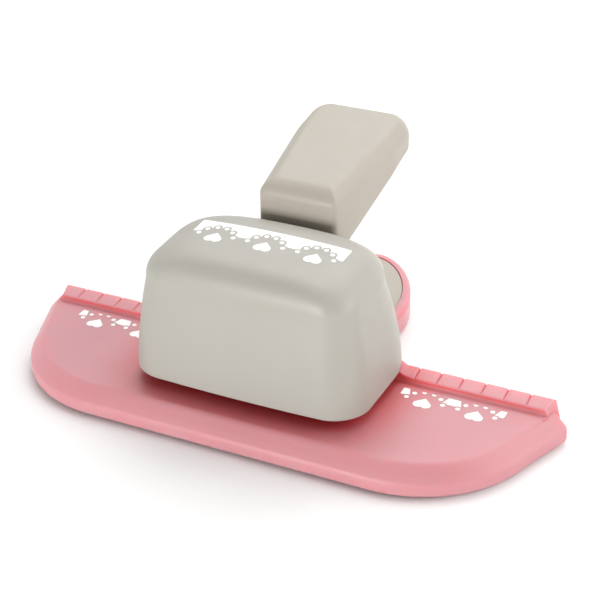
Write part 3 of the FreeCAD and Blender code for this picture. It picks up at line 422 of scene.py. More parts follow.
# ---------------------------------------------------------------- materials
def node_material(name):
    """An empty node material with its shader and object coordinates."""
    material = bpy.data.materials.get(name) or bpy.data.materials.new(name)
    material.use_nodes = True
    tree = material.node_tree
    tree.nodes.clear()
    output = tree.nodes.new("ShaderNodeOutputMaterial")
    shader = tree.nodes.new("ShaderNodeBsdfPrincipled")
    place = tree.nodes.new("ShaderNodeTexCoord")
    tree.links.new(shader.outputs["BSDF"], output.inputs["Surface"])
    return material, tree, shader, place.outputs["Object"]


def noise(tree, place, scale, detail=3.0, stretch=(1, 1, 1)):
    """A noise pattern on object coordinates, stretched along an axis where wanted."""
    mapping = tree.nodes.new("ShaderNodeMapping")
    mapping.inputs["Scale"].default_value = stretch
    tree.links.new(place, mapping.inputs["Vector"])
    pattern = tree.nodes.new("ShaderNodeTexNoise")
    pattern.inputs["Scale"].default_value = scale
    pattern.inputs["Detail"].default_value = detail
    tree.links.new(mapping.outputs["Vector"], pattern.inputs["Vector"])
    return pattern.outputs["Fac"]


def ranged(tree, value, source, target):
    """A node's value carried from one range to another and held inside it."""
    node = tree.nodes.new("ShaderNodeMapRange")
    for socket, number in zip(("From Min", "From Max", "To Min", "To Max"), (*source, *target)):
        node.inputs[socket].default_value = number
    tree.links.new(value, node.inputs["Value"])
    return node.outputs["Result"]


def spread(tree, pattern, low, high):
    """A noise's usual range mapped to run from low to high."""
    return ranged(tree, pattern, NOISE_RANGE, (low, high))


def blend(tree, factor, first, second):
    """A mix of a colour and a second colour or node by a pattern."""
    mix = tree.nodes.new("ShaderNodeMix")
    mix.data_type = "RGBA"
    tree.links.new(factor, mix.inputs["Factor"])
    mix.inputs["A"].default_value = (*first, 1)
    if isinstance(second, bpy.types.NodeSocket):
        tree.links.new(second, mix.inputs["B"])
    else:
        mix.inputs["B"].default_value = (*second, 1)
    return mix.outputs["Result"]


def tint(tree, shader, pattern, base, other):
    """A base colour that drifts by a pattern towards that colour times another number or three."""
    mixed = blend(tree, spread(tree, pattern, 0, 1), tuple(base), tuple(np.array(base) * other))
    tree.links.new(mixed, shader.inputs["Base Color"])


def grain(tree, shader, pattern, strength, distance):
    """A fine relief on the surface."""
    bump = tree.nodes.new("ShaderNodeBump")
    bump.inputs["Strength"].default_value = strength
    bump.inputs["Distance"].default_value = distance
    tree.links.new(pattern, bump.inputs["Height"])
    tree.links.new(bump.outputs["Normal"], shader.inputs["Normal"])


def moulding(name, base, deeper, rough=(0.40, 0.50), glow=0.0):
    """Satin moulded plastic: a faint drift of colour, uneven gloss and a spark-eroded grain."""
    material, tree, shader, place = node_material(name)
    tint(tree, shader, noise(tree, place, 38, 2), base, deeper)
    tree.links.new(spread(tree, noise(tree, place, 240, 4), *rough), shader.inputs["Roughness"])
    grain(tree, shader, noise(tree, place, 3600, 2), 0.12, 0.00005)
    shader.inputs["IOR"].default_value = 1.46
    shader.inputs["Subsurface Weight"].default_value = glow
    shader.inputs["Subsurface Radius"].default_value = (1.0, 0.14, 0.13)
    shader.inputs["Subsurface Scale"].default_value = 0.006
    return material


def paint_shade_in_hollows(material, deeper):
    """Paints shade into a moulding's base colour: a deeper colour is mixed in where other surfaces
    near it shut it in. It stands in for the red light that bounces about and glows through the pink
    in its hollows.

    The painted shade fades out just below the deck, so the foot keeps its own colour.
    """
    reach, shut_in, open_wide = 0.016, 0.45, 0.95
    fade_top, fade_low = 0.0003, 0.003
    tree = material.node_tree
    base_color = tree.nodes["Principled BSDF"].inputs["Base Color"]
    closeness = tree.nodes.new("ShaderNodeAmbientOcclusion")
    closeness.inputs["Distance"].default_value = reach
    closeness.samples = 12
    place = tree.nodes.new("ShaderNodeTexCoord")
    height = tree.nodes.new("ShaderNodeSeparateXYZ")
    tree.links.new(place.outputs["Object"], height.inputs["Vector"])
    deck = deck_origin()[2]
    keep = tree.nodes.new("ShaderNodeMath")
    keep.operation = "MAXIMUM"
    tree.links.new(ranged(tree, closeness.outputs["AO"], (shut_in, open_wide), (0, 1)),
                   keep.inputs[0])
    tree.links.new(ranged(tree, height.outputs["Z"], (deck - fade_low, deck - fade_top), (1, 0)),
                   keep.inputs[1])
    plain = base_color.links[0].from_socket
    # Painted shade: the deep red takes over the base colour as the surface gets more shut in.
    tree.links.new(blend(tree, keep.outputs["Value"], deeper, plain), base_color)
    return material


def ground_metal(name, base, rough, stretch=(1, 24, 24), scale=160):
    """Ground or turned metal: fine lines along one axis in its tone, gloss and relief."""
    material, tree, shader, place = node_material(name)
    lines = noise(tree, place, scale, 5, stretch)
    tint(tree, shader, lines, base, 0.78)
    tree.links.new(spread(tree, lines, rough * 0.8, rough * 1.25), shader.inputs["Roughness"])
    grain(tree, shader, lines, 0.15, 0.00004)
    shader.inputs["Metallic"].default_value = 1
    return material


def matte_rubber(name, base):
    """Dull rubber with a mottled tone and a dusty, uneven surface."""
    material, tree, shader, place = node_material(name)
    mottle = noise(tree, place, 520, 5)
    tint(tree, shader, mottle, base, 1.7)
    tree.links.new(spread(tree, mottle, 0.7, 0.92), shader.inputs["Roughness"])
    grain(tree, shader, mottle, 0.3, 0.0001)
    return material


def printed_ink(name, base):
    """Matte white ink: nearly even, with the slight mottle of a pad print."""
    material, tree, shader, place = node_material(name)
    mottle = noise(tree, place, 900, 3)
    tint(tree, shader, mottle, base, 0.96)
    tree.links.new(spread(tree, mottle, 0.45, 0.6), shader.inputs["Roughness"])
    return material


def slot_materials():
    """Every finish in the record's slots, by the slot's name."""
    finish = sizes("finish")
    return {
        # The pink moulding carries painted shade: a deep red mixed in where it is shut in.
        "pink_plastic": paint_shade_in_hollows(
            moulding("pink_moulding", finish.pink, (0.97, 0.94, 0.94), glow=0.6), finish.hollow),
        "cream_plastic": moulding("cream_moulding", finish.cream, (0.97, 0.965, 0.95)),
        "shell_plastic": moulding("shell_moulding", finish.shell, (0.97, 0.97, 0.96)),
        "plain_steel": ground_metal("ground_steel", finish.steel, 0.34),
        "tool_steel": ground_metal("tool_steel", finish.tool, 0.28, (24, 1, 24)),
        "bright_steel": ground_metal("polished_steel", finish.bright, 0.12, (1, 40, 40), 90),
        "zinc_screw": ground_metal("zinc_plate", finish.zinc, 0.4, (1, 1, 1), 700),
        "spring_steel": ground_metal("spring_wire", finish.spring, 0.3, (6, 6, 6), 120),
        "bronze": ground_metal("turned_bronze", finish.bronze, 0.3, (4, 30, 30), 120),
        "rubber": matte_rubber("foot_rubber", finish.rubber),
    }


# ---------------------------------------------------------------- tray
RULER_STRAIGHT = 71.5
FIRST_MARK, LAST_MARK = 6, 11
WELL_WALL, SEAT_GAP = 3.5, 0.1
SCREW_WELL = 3.05
DIE_SCREW_X, DIE_SCREW_Y = (-24, -8, 8, 24), 1.6
HOUSING_SCREW_X, HOUSING_SCREW_Y = (-14, 14), 9.4
CHIP_LOW, CHIP_HIGH = (-24, -24), (24, -4)
POCKET_LOW, POCKET_HIGH = (-13, 18), (13, 40)


def tray_rings():
    """The tray's skin as rings: one closed profile of (side inset, back inset, height) carried
    round the plan, from the middle of the deck out over the bevel and back in underneath."""
    t = sizes("tray")
    profile = soft_profile(
        [(14, 9, 0), (t.bevel + 4, 1, 0), (t.bevel, 0.6, 0), (0, 0, -t.bevel_drop),
         (0, 0, -t.depth), (t.skirt, 3, -t.depth), (t.skirt, 3, -t.skin), (14, 9, -t.skin)],
        [0.05, t.bevel_soft, t.bevel_soft, t.hem, 0.4, 0.4])
    front_half = t.back_half - t.front * np.tan(t.lean)
    corners = [(-front_half, -t.front), (front_half, -t.front), (t.back_half, 0), (-t.back_half, 0)]
    rings = []
    for side, back, height in profile:
        moved = inset_plan(corners, [side, side, back, side])
        radii = [t.front_corner - side] * 2 + [t.back_corner] * 2
        rings.append(lifted(rounded_plan(moved, radii, 28, 24), height))
    return rings


def ruler_rings():
    """The raised ruler: its section, rounded at the top and hollow at the foot, carried along X.

    The top's height at a place is the larger of the plain slope and the flank's hollow arc, less a
    V-shaped mark at every step that is deepest at the rear edge. The ends lie on the bevel's slope.
    """
    t = sizes("tray")
    foot = -t.ruler_depth - t.foot_curve
    section = soft_profile(
        [(-0.01, 0.1 - t.bevel_drop), (-0.01, t.ruler_top), (-t.ruler_depth, t.ruler_foot),
         (-t.ruler_depth, -0.02), (foot - 1.2, -0.02), (foot - 1, -0.9), (-2.9, -2.2),
         (-0.7, 0.1 - t.bevel_drop)],
        [0.35, 0.55, t.foot_curve, 0.05, 0.05, 0.05])
    y, z = section.T
    straight = RULER_STRAIGHT
    marks = np.arange(FIRST_MARK, LAST_MARK + 1) * t.mark_step
    stations = np.concatenate([
        np.linspace(0, t.bridge_half, 8), t.bridge_half + np.linspace(0, t.flank, 15),
        np.arange(t.bridge_half + t.flank, straight, 1.1),
        (marks[:, None] + np.array([-1, -0.5, 0, 0.5, 1]) * t.mark_half).ravel(),
        straight + np.linspace(0, 1, 7)])
    stations = np.unique(np.round(stations, 4))
    stations = np.concatenate([-stations[:0:-1], stations])
    reach = np.abs(stations)[:, None]
    inset = t.bevel * (1 + np.maximum(z, 0) / t.bevel_drop)
    end = t.back_half + y * np.tan(t.lean) - inset / np.cos(t.lean)
    past = np.clip(reach - straight, 0, 1)
    x = np.sign(stations)[:, None] * (np.minimum(reach, straight) + past * (end - straight))
    climb = t.bridge_top - t.ruler_foot
    radius = (t.flank ** 2 + climb ** 2) / (2 * climb)
    into = np.clip(t.bridge_half + t.flank - reach, 0, t.flank)
    arc = t.ruler_foot + radius - np.sqrt(radius ** 2 - into ** 2) - 0.03
    rearward = 1 + y / t.ruler_depth
    plain = t.ruler_foot + (t.ruler_top - t.ruler_foot) * rearward
    lift = np.maximum(arc - plain, 0)
    nearest = np.abs(reach - np.round(reach / t.mark_step) * t.mark_step)
    ruled = np.abs(reach / t.mark_step - (FIRST_MARK + LAST_MARK) / 2) < (
        LAST_MARK - FIRST_MARK + 1) / 2
    width = t.mark_half * (0.6 + 0.4 * rearward)
    mark = t.mark_deep * (0.45 + 0.55 * rearward) * np.clip(1 - nearest / width, 0, 1) * ruled
    share = np.clip((z - t.foot_curve) / (t.ruler_foot - t.foot_curve), 0, 1)
    high = z + (lift - mark) * share
    return np.stack([x, np.broadcast_to(y, x.shape), high], -1)


def bridge_rings(front, low, high, soft):
    """The raised bridge under the head: a round-backed plan carried up, its top edge softened."""
    t = sizes("tray")
    corners = [(-t.bridge_half, front), (t.bridge_half, front), (t.bridge_half, t.bridge_back),
               (-t.bridge_half, t.bridge_back)]
    rings = []
    for inset, height in soft_profile([(4, high), (0, high), (0, low), (4, low)], [soft, 0.1]):
        corner = t.bridge_corner - inset
        rings.append(lifted(rounded_plan(inset_plan(corners, [inset] * 4),
                                         [0.3, 0.3, corner, corner], 16, 10), height))
    return rings


def tail_plan(inset, front):
    """The tail's plan: straight sides that close in a superellipse.

    Across is the half width times cosine to the power 2/n, and back is the tip's length times sine
    to the power 2/n.
    """
    t = sizes("tray")
    half, tip = t.tail_half - inset, t.tail_end - t.tail_straight - inset
    turn = np.linspace(0, np.pi, 61)
    exponent = 2 / t.tail_power
    across = half * np.sign(np.cos(turn)) * np.abs(np.cos(turn)) ** exponent
    back = t.tail_straight + tip * np.sin(turn) ** exponent
    side = np.linspace(front, t.tail_straight, 14)[:-1]
    base = np.linspace(-half, half, 14)[1:-1]
    return np.concatenate([
        np.column_stack([np.full(13, half), side]), np.column_stack([across, back]),
        np.column_stack([np.full(13, -half), side[::-1]]),
        np.column_stack([base, np.full(12, front)])])


def tail_rings(front, profile, radii):
    """Tail-shaped rings from a softened profile of (inset, height)."""
    return [lifted(tail_plan(inset, front + inset), height)
            for inset, height in soft_profile(profile, radii)]


class PUNCH_OT_tray(bpy.types.Operator):
    """Builds the one-piece tray: deck, bevel, ruler, bridge and tail, hollow underneath"""
    bl_idname = "punch.tray"
    bl_label = "Tray"

    def execute(self, context):
        t = sizes("tray")
        tray = new_object("tray_moulding", [closed_loft(tray_rings())])
        tail = tail_rings(-2, [(8, 0), (0, 0), (0, -t.depth), (8, -t.depth)], [1.1, t.hem])
        die_low, die_high = node_box("die_plate")
        stack_high = node_box("guide_plate")[1]
        well = box_skin((die_low[0] - WELL_WALL, die_low[1] - WELL_WALL, die_low[2] - 2),
                        (die_high[0] + WELL_WALL, -1, -1))
        bridge = bridge_rings(0.02 - t.ruler_depth, -1.5, t.bridge_top, 0.5)
        under_bridge = bridge_rings(-3.02, 0.01 - t.depth, 0.5, 0.1)
        combine(tray, [closed_loft(rings) for rings in (tail, under_bridge, bridge, ruler_rings())]
                + [well], "UNION")
        seat_edge, floor, below = t.rim, -t.panel_sink - t.panel_thick, -t.depth - 1
        seat = tail_rings(t.panel_front - SEAT_GAP - seat_edge,
                          [(seat_edge + 8, floor), (seat_edge, floor), (seat_edge, 3),
                           (seat_edge + 8, 3)], [0.1, 0.1])
        tools = [
            closed_loft(seat),
            box_skin((die_low[0] - SEAT_GAP, die_low[1] - SEAT_GAP, die_low[2]),
                     (die_high[0] + SEAT_GAP, die_high[1] + SEAT_GAP, stack_high[2] + 5)),
            box_skin((*CHIP_LOW, below), (*CHIP_HIGH, -1)),
            box_skin((*POCKET_LOW, below), (*POCKET_HIGH, -3.4)),
        ]
        tools += [disc_skin(x, DIE_SCREW_Y, SCREW_WELL, below, -5) for x in DIE_SCREW_X]
        tools += [disc_skin(x, HOUSING_SCREW_Y, SCREW_WELL, below, -3) for x in HOUSING_SCREW_X]
        combine(tray, tools, "DIFFERENCE")
        finish_piece(tray, slot_materials()["pink_plastic"], "base", "pink_plastic", "base_tray")
        return {"FINISHED"}


class PUNCH_OT_panel(bpy.types.Operator):
    """Builds the tail's set-in panel, slightly crowned with a softened edge"""
    bl_idname = "punch.tail_panel"
    bl_label = "Tail panel"

    def execute(self, context):
        t = sizes("tray")
        edge = t.rim + SEAT_GAP
        profile = [(edge + 9, -t.panel_sink), (edge, -t.panel_sink - 0.02),
                   (edge, -t.panel_sink - t.panel_thick), (edge + 9, -t.panel_sink - t.panel_thick)]
        panel = new_object("tail_panel", [closed_loft(tail_rings(t.panel_front - edge, profile,
                                                                 [0.3, 0.1]))])
        finish_piece(panel, slot_materials()["cream_plastic"], "base", "cream_plastic",
                     "tail_inset")
        return {"FINISHED"}


def node_box(node):
    """A CAD node's lowest and highest corners about the deck, in millimetres."""
    return [(np.array(corner) - deck_origin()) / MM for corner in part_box(node)]


# ---------------------------------------------------------------- head
FRONT_SHARE, BACK_SHARE = 0.7, 1.4
BOW_START, BOW_REACH = 18, 16
BACK_START = 10


def crown_height(x, y):
    """The dome's height: it rises towards the back, falls to the sides as x squared, and falls
    again behind the dome as the square of the way back."""
    h = sizes("head")
    behind = np.maximum(y + BACK_START, 0)
    return (h.crown + h.crown_slope * (y + h.crown_place) - h.crown_fall * x ** 2
            - h.back_fall * behind ** 2)


def head_height(x, y):
    """The head's surface over a place on its dome or shoulder: the shoulder is a quarter of a
    superellipse across the nearest side, so the rise's share is one less the share of the way
    still to go to the power n, all to the power 1/n."""
    h = sizes("head")
    into = np.minimum(h.half - np.abs(x), np.minimum((h.front + y) / FRONT_SHARE,
                                                     (h.back - y) / BACK_SHARE))
    left = 1 - np.clip((into - h.lean) / h.run, 0, 1)
    return h.shoulder + (crown_height(x, y) - h.shoulder) * (1 - left ** h.power) ** (1 / h.power)


def head_plan(into, wall):
    """The head's plan when every side has come in, the front by less and the back by more."""
    h = sizes("head")
    front = -(h.front - FRONT_SHARE * into - wall)
    back = h.back - BACK_SHARE * into - wall
    half = h.half - into - wall
    rear = h.rear - 0.75 * max(into - h.lean, 0) - wall
    toward = max(1 - into / h.lean, 0)
    corner = h.corner + (h.corner_foot - h.corner) * toward - wall
    rear = min(rear, back - front - corner - 1)
    plan = rounded_plan([(-half, front), (half, front), (half, back), (-half, back)],
                        [corner, corner, rear, rear], 16, 18)
    near_front = np.clip((-plan[:, 1] - BOW_START) / BOW_REACH, 0, 1)
    plan[:, 1] += h.bow * near_front * np.clip(plan[:, 0] / half, -1, 1) ** 2
    return plan


def head_skin_rings(wall, foot):
    """Rings of the head's skin from the foot up: the wall leans in with the height's share to the
    power 1.6, the shoulder is a quarter superellipse, and the dome's rings shrink to its middle."""
    h = sizes("head")
    rings = []
    for share in np.linspace(0, 1, 12):
        height = foot + share * (h.shoulder - foot)
        rings.append(lifted(head_plan(h.lean * share ** 1.6, wall), height))
    for turn in np.radians(np.linspace(0, 90, 17)[1:]):
        plan = head_plan(h.lean + h.run * (1 - np.cos(turn) ** (2 / h.power)), wall)
        rise = crown_height(*plan.T) - wall - h.shoulder
        rings.append(lifted(plan, h.shoulder + rise * np.sin(turn) ** (2 / h.power)))
    middle = plan.mean(0)
    for scale in (0.85, 0.7, 0.5, 0.3, 0.1):
        shrunk = middle + (plan - middle) * scale
        rings.append(lifted(shrunk, crown_height(*shrunk.T) - wall))
    return rings


class PUNCH_OT_head(bpy.types.Operator):
    """Builds the head's shell with its leaning walls, round shoulder, dome and lever slot"""
    bl_idname = "punch.head"
    bl_label = "Head"

    def execute(self, context):
        h, t = sizes("head"), sizes("tray")
        outer = head_skin_rings(0, h.low + 0.4)
        inner = head_skin_rings(h.wall, h.low + 0.4)
        hem = [lifted(head_plan(0, depth), h.low) for depth in (0.4, h.wall - 0.4)]
        head = new_object("head_shell", [closed_loft(outer[::-1] + hem + inner)])
        slot = box_skin((-h.slot_half, h.slot_front, h.slot_low), (h.slot_half, 40, 60))
        seat = box_skin((-60, -t.ruler_depth - 0.3, -1), (60, 40, t.bridge_top))
        combine(head, [slot, seat], "DIFFERENCE")
        boss_radius, boss_top = 3.2, 12
        bosses = [disc_skin(x, HOUSING_SCREW_Y, boss_radius, t.bridge_top, boss_top)
                  for x in HOUSING_SCREW_X]
        combine(head, bosses, "UNION")
        finish_piece(head, slot_materials()["shell_plastic"], "base", "shell_plastic", "housing")
        return {"FINISHED"}


# ---------------------------------------------------------------- lever
def lever_top(y):
    """Height of the top face: a straight climb from the front to the tip."""
    v = sizes("lever")
    return np.interp(y, [v.front, v.end], [v.top_front, v.top_end])


def lever_edge(y):
    """Height of the top face's outer border."""
    v = sizes("lever")
    return np.interp(y, [v.front, v.end], [v.edge_front, v.edge_end])


def lever_under(y):
    """Height of the underside: a steep climb to the kink, then nearly level."""
    v = sizes("lever")
    return np.interp(y, [v.front, v.kink_place, v.end], [v.heel, v.kink, v.tip_low])


def lever_plan(inset):
    """The lever's plan: narrow at the front, widening to the middle, with a round-cornered tip."""
    v = sizes("lever")
    corners = [(-v.front_half, v.front), (v.front_half, v.front), (v.half - 0.2, v.wide_place),
               (v.half, v.end), (-v.half, v.end), (-v.half + 0.2, v.wide_place)]
    tip, front = max(v.corner - inset, 0.5), max(v.front_corner - inset, 0.3)
    return rounded_plan(inset_plan(corners, [inset] * 6), [front, front, 40, tip, tip, 40], 12, 9)


def lever_rings():
    """Rings from the middle of the top face out over its border, down the sides, round the lower
    edge and up inside. Over the border the height falls from the top face to the border's outer
    line as the way out to the power 1.7, and the last of it is a small round."""
    v = sizes("lever")
    rings = []

    def border_ring(inset, drop, wall):
        plan = lever_plan(inset + wall)
        y = plan[:, 1]
        out = np.clip(1 - inset / v.border, 0, 1)
        fall = (lever_top(y) - lever_edge(y)) * out ** 1.7
        rings.append(lifted(plan, lever_top(y) - fall - drop - wall))

    round_radius = 1.6
    for inset in (9.5, 8, 6, 4.8, v.border, 3.6, 3, 2.5, 2):
        border_ring(inset, 0, 0)
    for turn in np.radians([90, 72, 54, 36, 18, 0]):
        border_ring(round_radius * (1 - np.cos(turn)), round_radius * (1 - np.sin(turn)), 0)
    for share in np.linspace(0, 1, 7)[1:-1]:
        plan = lever_plan(0)
        y = plan[:, 1]
        top = lever_edge(y) - round_radius
        rings.append(lifted(plan, top + share * (lever_under(y) + 0.3 - top)))
    for inset, lift in ((0, 0.3), (0.1, 0.1), (0.3, 0), (v.wall - 0.2, 0), (v.wall, 0.2)):
        plan = lever_plan(inset)
        rings.append(lifted(plan, lever_under(plan[:, 1]) + lift))
    for inset in (0.6, v.border - 3, 3, 6):
        border_ring(inset, 0, v.wall)
    return rings


class PUNCH_OT_lever(bpy.types.Operator):
    """Builds the hollow lever: sloping top face with a soft border, side walls, open underside"""
    bl_idname = "punch.lever"
    bl_label = "Lever"

    def execute(self, context):
        v = sizes("lever")
        lever = new_object("lever_shell_skin", [closed_loft(lever_rings())])
        mouth = box_skin((-v.mouth_half, v.front - 1, v.heel - 1),
                         (v.mouth_half, v.front + v.wall + 1, v.mouth_top))
        combine(lever, [mouth], "DIFFERENCE")
        finish_piece(lever, slot_materials()["cream_plastic"], "lever", "cream_plastic",
                     "lever_shell")
        return {"FINISHED"}


# ---------------------------------------------------------------- printed border
def ray_turns(count):
    """Across and back parts of rays that share out a whole turn."""
    turn = np.linspace(0, 2 * np.pi, count, endpoint=False)
    return np.cos(turn), np.sin(turn)


def film_patch(middle, reach, surface, rings=5):
    """A thin closed film about a middle point: rays of the given reach, laid on a surface.

    A point is the middle plus share times reach along its ray; its height is the surface's there.
    """
    b = sizes("border")
    ray = np.column_stack(ray_turns(len(reach))) * reach[:, None]
    plans = [np.asarray(middle) + ray * share for share in np.linspace(0.12, 1, rings)]
    over = [lifted(plan, surface(*plan.T) + b.film) for plan in plans]
    under = [lifted(plan, surface(*plan.T) - b.sunk) for plan in plans[::-1]]
    return closed_loft(over + under)


def to_circle(x, y, radius, count, leaving):
    """How far each ray from the middle goes to a circle: where it leaves it, or first meets it."""
    across, up = ray_turns(count)
    along = across * x + up * y
    inside = along ** 2 - (x ** 2 + y ** 2 - radius ** 2)
    root = np.sqrt(np.maximum(inside, 0))
    if leaving:
        return np.where(inside > 0, np.maximum(along + root, 0), 0)
    return np.where((inside > 0) & (along > root), along - root, np.inf)


def to_line(normal, distance, count):
    """How far each ray goes to a straight line at a distance along its normal."""
    facing = np.column_stack(ray_turns(count)) @ np.asarray(normal, float)
    return np.where(facing > 1e-6, distance / np.maximum(facing, 1e-6), np.inf)


def heart_reach(count=96):
    """Rays out of the square's middle to the far side of a square on its corner and two discs."""
    b = sizes("border")
    slant = np.sqrt(0.5)
    square = np.min([to_line((a * slant, c * slant), b.heart / 2, count)
                     for a in (-1, 1) for c in (-1, 1)], 0)
    offset = b.heart / 2 * slant
    discs = [to_circle(side * offset, -offset, b.heart / 2, count, True) for side in (-1, 1)]
    return np.max([square, *discs], 0)


def dot_places():
    """The six dots of one repeat about its heart."""
    pairs = np.array([(5.17, 1.84), (3.77, 4.31), (1.37, 5.68)])
    return np.concatenate([pairs * (-1, 1), pairs])


def figure(middle_x, heart_y, surface, edge):
    """One repeat's heart and dots, each dot cut off at the print's rear edge."""
    b = sizes("border")
    skins = [film_patch((middle_x, heart_y + b.heart_lift), heart_reach(), surface)]
    for across, back in dot_places():
        room = edge - heart_y - back
        reach = np.minimum(b.dot, to_line((0, 1), max(room, 0.05), 40))
        skins.append(film_patch((middle_x + across, heart_y + back), reach, surface, 3))
    return skins


def star(middle_x, heart_y, surface, edge, limits):
    """The gap between two repeats: rays that stop at the scallops, the edges and the arches."""
    b = sizes("border")
    count, up, arch_lean, arch_reach = 192, 4, 0.35, 2.3
    reach = np.minimum(to_line((0, -1), up - b.band_low, count),
                       to_line((0, 1), edge - heart_y - up, count))
    for side in (-1, 1):
        for across, back in dot_places()[:3]:
            x = side * (b.step / 2 + across)
            reach = np.minimum(reach, to_circle(x, back - up, b.scallop, count, False))
        reach = np.minimum(reach, to_line((side, arch_lean), arch_reach, count))
    for side, limit in limits:
        reach = np.minimum(reach, to_line((side, 0), max(side * (limit - middle_x), 0.02), count))
    return film_patch((middle_x, heart_y + up), reach, surface, 4)


def band(heart_y, surface):
    """The head's whole band: a grid with a straight back and a front of scallops and arches.

    The front's place at x is the furthest back of the plain edge, the arch and the scallops.
    """
    b = sizes("border")
    x = np.linspace(-1.5, 1.5, 541) * b.step
    local = (x + b.step / 2) % b.step - b.step / 2
    dots = dot_places()
    order = dots[np.argsort(dots[:, 0])]
    arch = np.interp(local, order[:, 0], order[:, 1], left=b.band_low, right=b.band_low)
    away = b.scallop ** 2 - (local[:, None] - dots[:, 0]) ** 2
    beside = b.scallop ** 2 - (b.step - np.abs(local)[:, None] - np.abs(dots[:, 0])) ** 2
    tops = dots[:, 1] + np.sqrt(np.maximum(np.maximum(away, beside), 0))
    tops = np.where(np.maximum(away, beside) > 0, tops, b.band_low).max(1)
    front = np.maximum(arch, tops)
    share = np.linspace(0, 1, 7)[:, None]
    y = heart_y + front + share * (b.band_high - front)
    across = np.broadcast_to(x, y.shape)
    over = np.stack([across, y, surface(across, y) + b.film], -1)
    under = np.stack([across, y, surface(across, y) - b.sunk], -1)
    rim = np.concatenate([over, under[::-1]])
    return closed_loft(np.swapaxes(rim, 0, 1))


class PUNCH_OT_border(bpy.types.Operator):
    """Lays the white printed border on the deck, each side of the head, and on the dome"""
    bl_idname = "punch.printed_border"
    bl_label = "Printed border"

    def execute(self, context):
        b = sizes("border")
        ink = printed_ink("white_print", sizes("finish").ink)

        def flat(x, y):
            return np.zeros_like(x)

        for label, side in (("left", -1), ("right", 1)):
            skins = []
            for repeat in (3, 4):
                skins += figure(side * repeat * b.step, -b.deck_place, flat, -b.deck_edge)
            for half in (2.5, 3.5, 4.5):
                limits = [(-1, side * 3.5 * b.step - b.step), (1, side * 3.5 * b.step + b.step)]
                skins.append(star(side * half * b.step, -b.deck_place, flat, -b.deck_edge, limits))
            print_piece = new_object(f"deck_print_{label}", skins)
            finish_piece(print_piece, ink, "base", "shell_plastic")
        skins = [band(-b.head_place, head_height)]
        for repeat in (-1, 0, 1):
            skins += figure(repeat * b.step, -b.head_place, head_height, 0)
        finish_piece(new_object("head_print", skins), ink, "base", "shell_plastic")
        return {"FINISHED"}


# ---------------------------------------------------------------- CAD nodes
class PUNCH_OT_works(bpy.types.Operator):
    """Gives every part that stays as it is the finish of its slot"""
    bl_idname = "punch.works"
    bl_label = "Works"

    def execute(self, context):
        finishes = slot_materials()
        for part in frame["record"]["subparts"]:
            mesh = frame["nodes"][part["node"]].data
            mesh.materials.clear()
            mesh.materials.append(finishes[part["material_slot"]])
        return {"FINISHED"}


class PUNCH_OT_springs(bpy.types.Operator):
    """Gives the two coil springs under the punch block a copy of their mesh with doubled points
    merged, carried by the base
    """
    bl_idname = "punch.springs"
    bl_label = "Springs"

    def execute(self, context):
        mesh = frame["nodes"]["return_springs"].data.copy()
        mesh.name = "coil_springs"
        coils = bmesh.new()
        coils.from_mesh(mesh)
        bmesh.ops.remove_doubles(coils, verts=coils.verts, dist=1e-6)
        coils.to_mesh(mesh)
        coils.free()
        springs = bpy.data.objects.new("coil_springs", mesh)
        context.scene.collection.objects.link(springs)
        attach(springs, "base")
        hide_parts("return_springs")
        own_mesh(springs)
        return {"FINISHED"}


# ---------------------------------------------------------------- stage
def soft_light(name, watts, size, place, target):
    """A square soft light that faces a target."""
    lamp = bpy.data.lights.new(name, "AREA")
    lamp.energy, lamp.size = watts, size
    thing = bpy.data.objects.new(name, lamp)
    bpy.context.scene.collection.objects.link(thing)
    thing.location = place
    thing.rotation_euler = (Vector(target) - Vector(place)).to_track_quat("-Z", "Y").to_euler()


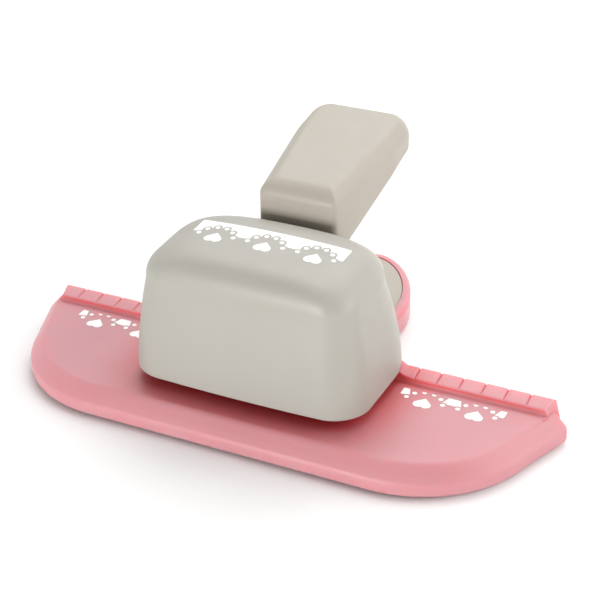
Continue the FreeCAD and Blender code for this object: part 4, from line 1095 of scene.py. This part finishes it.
class PUNCH_OT_stage(bpy.types.Operator):
    """Sets the floor, the soft lights, the pale surroundings and the camera"""
    bl_idname = "punch.stage"
    bl_label = "Stage"

    def execute(self, context):
        s = context.scene.punch_stage
        scene = context.scene
        scene.view_settings.view_transform = "Standard"
        level = CAD_BOX[0][2]
        self.add_floor(s, level)
        world = bpy.data.worlds.new("pale_room")
        scene.world = world
        world.use_nodes = True
        background = world.node_tree.nodes["Background"]
        background.inputs["Color"].default_value = (1, 1, 1, 1)
        self.dim_front(world.node_tree, background, s)
        middle = (0, 0, level + 0.03)
        soft_light("key_light", s.key, 0.5, (-0.55, -0.2, 0.45), middle)
        soft_light("fill_light", s.fill, 0.6, (0.6, 0.1, 0.35), middle)
        soft_light("low_light", s.low, 0.26, (-0.15, -1.0, 0.14), middle)
        soft_light("top_light", s.top, 0.8, (-0.1, 0.45, 0.75), middle)
        self.add_camera(s, scene)
        return {"FINISHED"}

    def dim_front(self, tree, background, s):
        """The room's brightness falls from s.sky behind to s.dim times that high in front."""
        place = tree.nodes.new("ShaderNodeTexCoord")
        facing = tree.nodes.new("ShaderNodeVectorMath")
        facing.operation = "DOT_PRODUCT"
        facing.inputs[1].default_value = (0.1, -0.77, 0.63)
        tree.links.new(place.outputs["Generated"], facing.inputs[0])
        fall = ranged(tree, facing.outputs["Value"], (-0.05, 0.75), (s.sky, s.sky * s.dim))
        tree.links.new(fall, background.inputs["Strength"])

    def add_floor(self, s, level):
        """A flat grid just under the feet."""
        steps = np.linspace(-1, 1, s.grid + 1) * s.floor_half
        x, y = np.meshgrid(steps, steps)
        index = np.arange(x.size).reshape(x.shape)
        faces = np.stack([index[:-1, :-1], index[:-1, 1:], index[1:, 1:], index[1:, :-1]], -1)
        mesh = bpy.data.meshes.new("floor")
        mesh.from_pydata(np.stack([x, y, np.full_like(x, level)], -1).reshape(-1, 3), [],
                         faces.reshape(-1, 4).tolist())
        floor = bpy.data.objects.new("floor", mesh)
        bpy.context.scene.collection.objects.link(floor)
        material, tree, shader, place = node_material("pale_table")
        tint(tree, shader, noise(tree, place, 3, 2), sizes("finish").floor, 0.985)
        roughness, shine = 0.75, 0.15
        shader.inputs["Roughness"].default_value = roughness
        shader.inputs["Specular IOR Level"].default_value = shine
        mesh.materials.append(material)

    def add_camera(self, s, scene):
        """A camera that looks down its azimuth and elevation, then tilts by its roll."""
        a, e, roll = s.azimuth, s.elevation, s.roll
        look = Vector((-np.sin(a) * np.cos(e), np.cos(a) * np.cos(e), -np.sin(e)))
        right = Vector((np.cos(a), np.sin(a), 0))
        up = right.cross(look)
        across = right * np.cos(roll) + up * np.sin(roll)
        above = up * np.cos(roll) - right * np.sin(roll)
        camera = bpy.data.cameras.new("camera")
        camera.lens, camera.sensor_width = s.lens, 36
        camera.clip_start, camera.clip_end = 0.01, 20
        thing = bpy.data.objects.new("camera", camera)
        scene.collection.objects.link(thing)
        axes = Matrix((across, above, -look)).transposed().to_4x4()
        thing.matrix_world = Matrix.Translation(Vector(s.eye)) @ axes
        scene.camera = thing


# ---------------------------------------------------------------- add-on
STEPS = (PUNCH_OT_works, PUNCH_OT_springs, PUNCH_OT_tray, PUNCH_OT_panel, PUNCH_OT_head,
         PUNCH_OT_lever, PUNCH_OT_border, PUNCH_OT_stage)


class PUNCH_PT_sidebar(bpy.types.Panel):
    """Lists the pieces in the order in which they are made"""
    bl_idname = "PUNCH_PT_sidebar"
    bl_label = "Border punch"
    bl_space_type = "VIEW_3D"
    bl_region_type = "UI"
    bl_category = "Border punch"

    def draw(self, context):
        for step in STEPS:
            self.layout.operator(step.bl_idname)


def register():
    for name, group in GROUPS.items():
        bpy.utils.register_class(group)
        setattr(bpy.types.Scene, "punch_" + name, PointerProperty(type=group))
    for step in (*STEPS, PUNCH_PT_sidebar):
        bpy.utils.register_class(step)


def unregister():
    for step in (PUNCH_PT_sidebar, *reversed(STEPS)):
        bpy.utils.unregister_class(step)
    for name, group in reversed(GROUPS.items()):
        delattr(bpy.types.Scene, "punch_" + name)
        bpy.utils.unregister_class(group)


def main():
    """Makes every piece in order."""
    register()
    for step in STEPS:
        family, name = step.bl_idname.split(".")
        getattr(getattr(bpy.ops, family), name)()


if __name__ == "__main__":
    main()
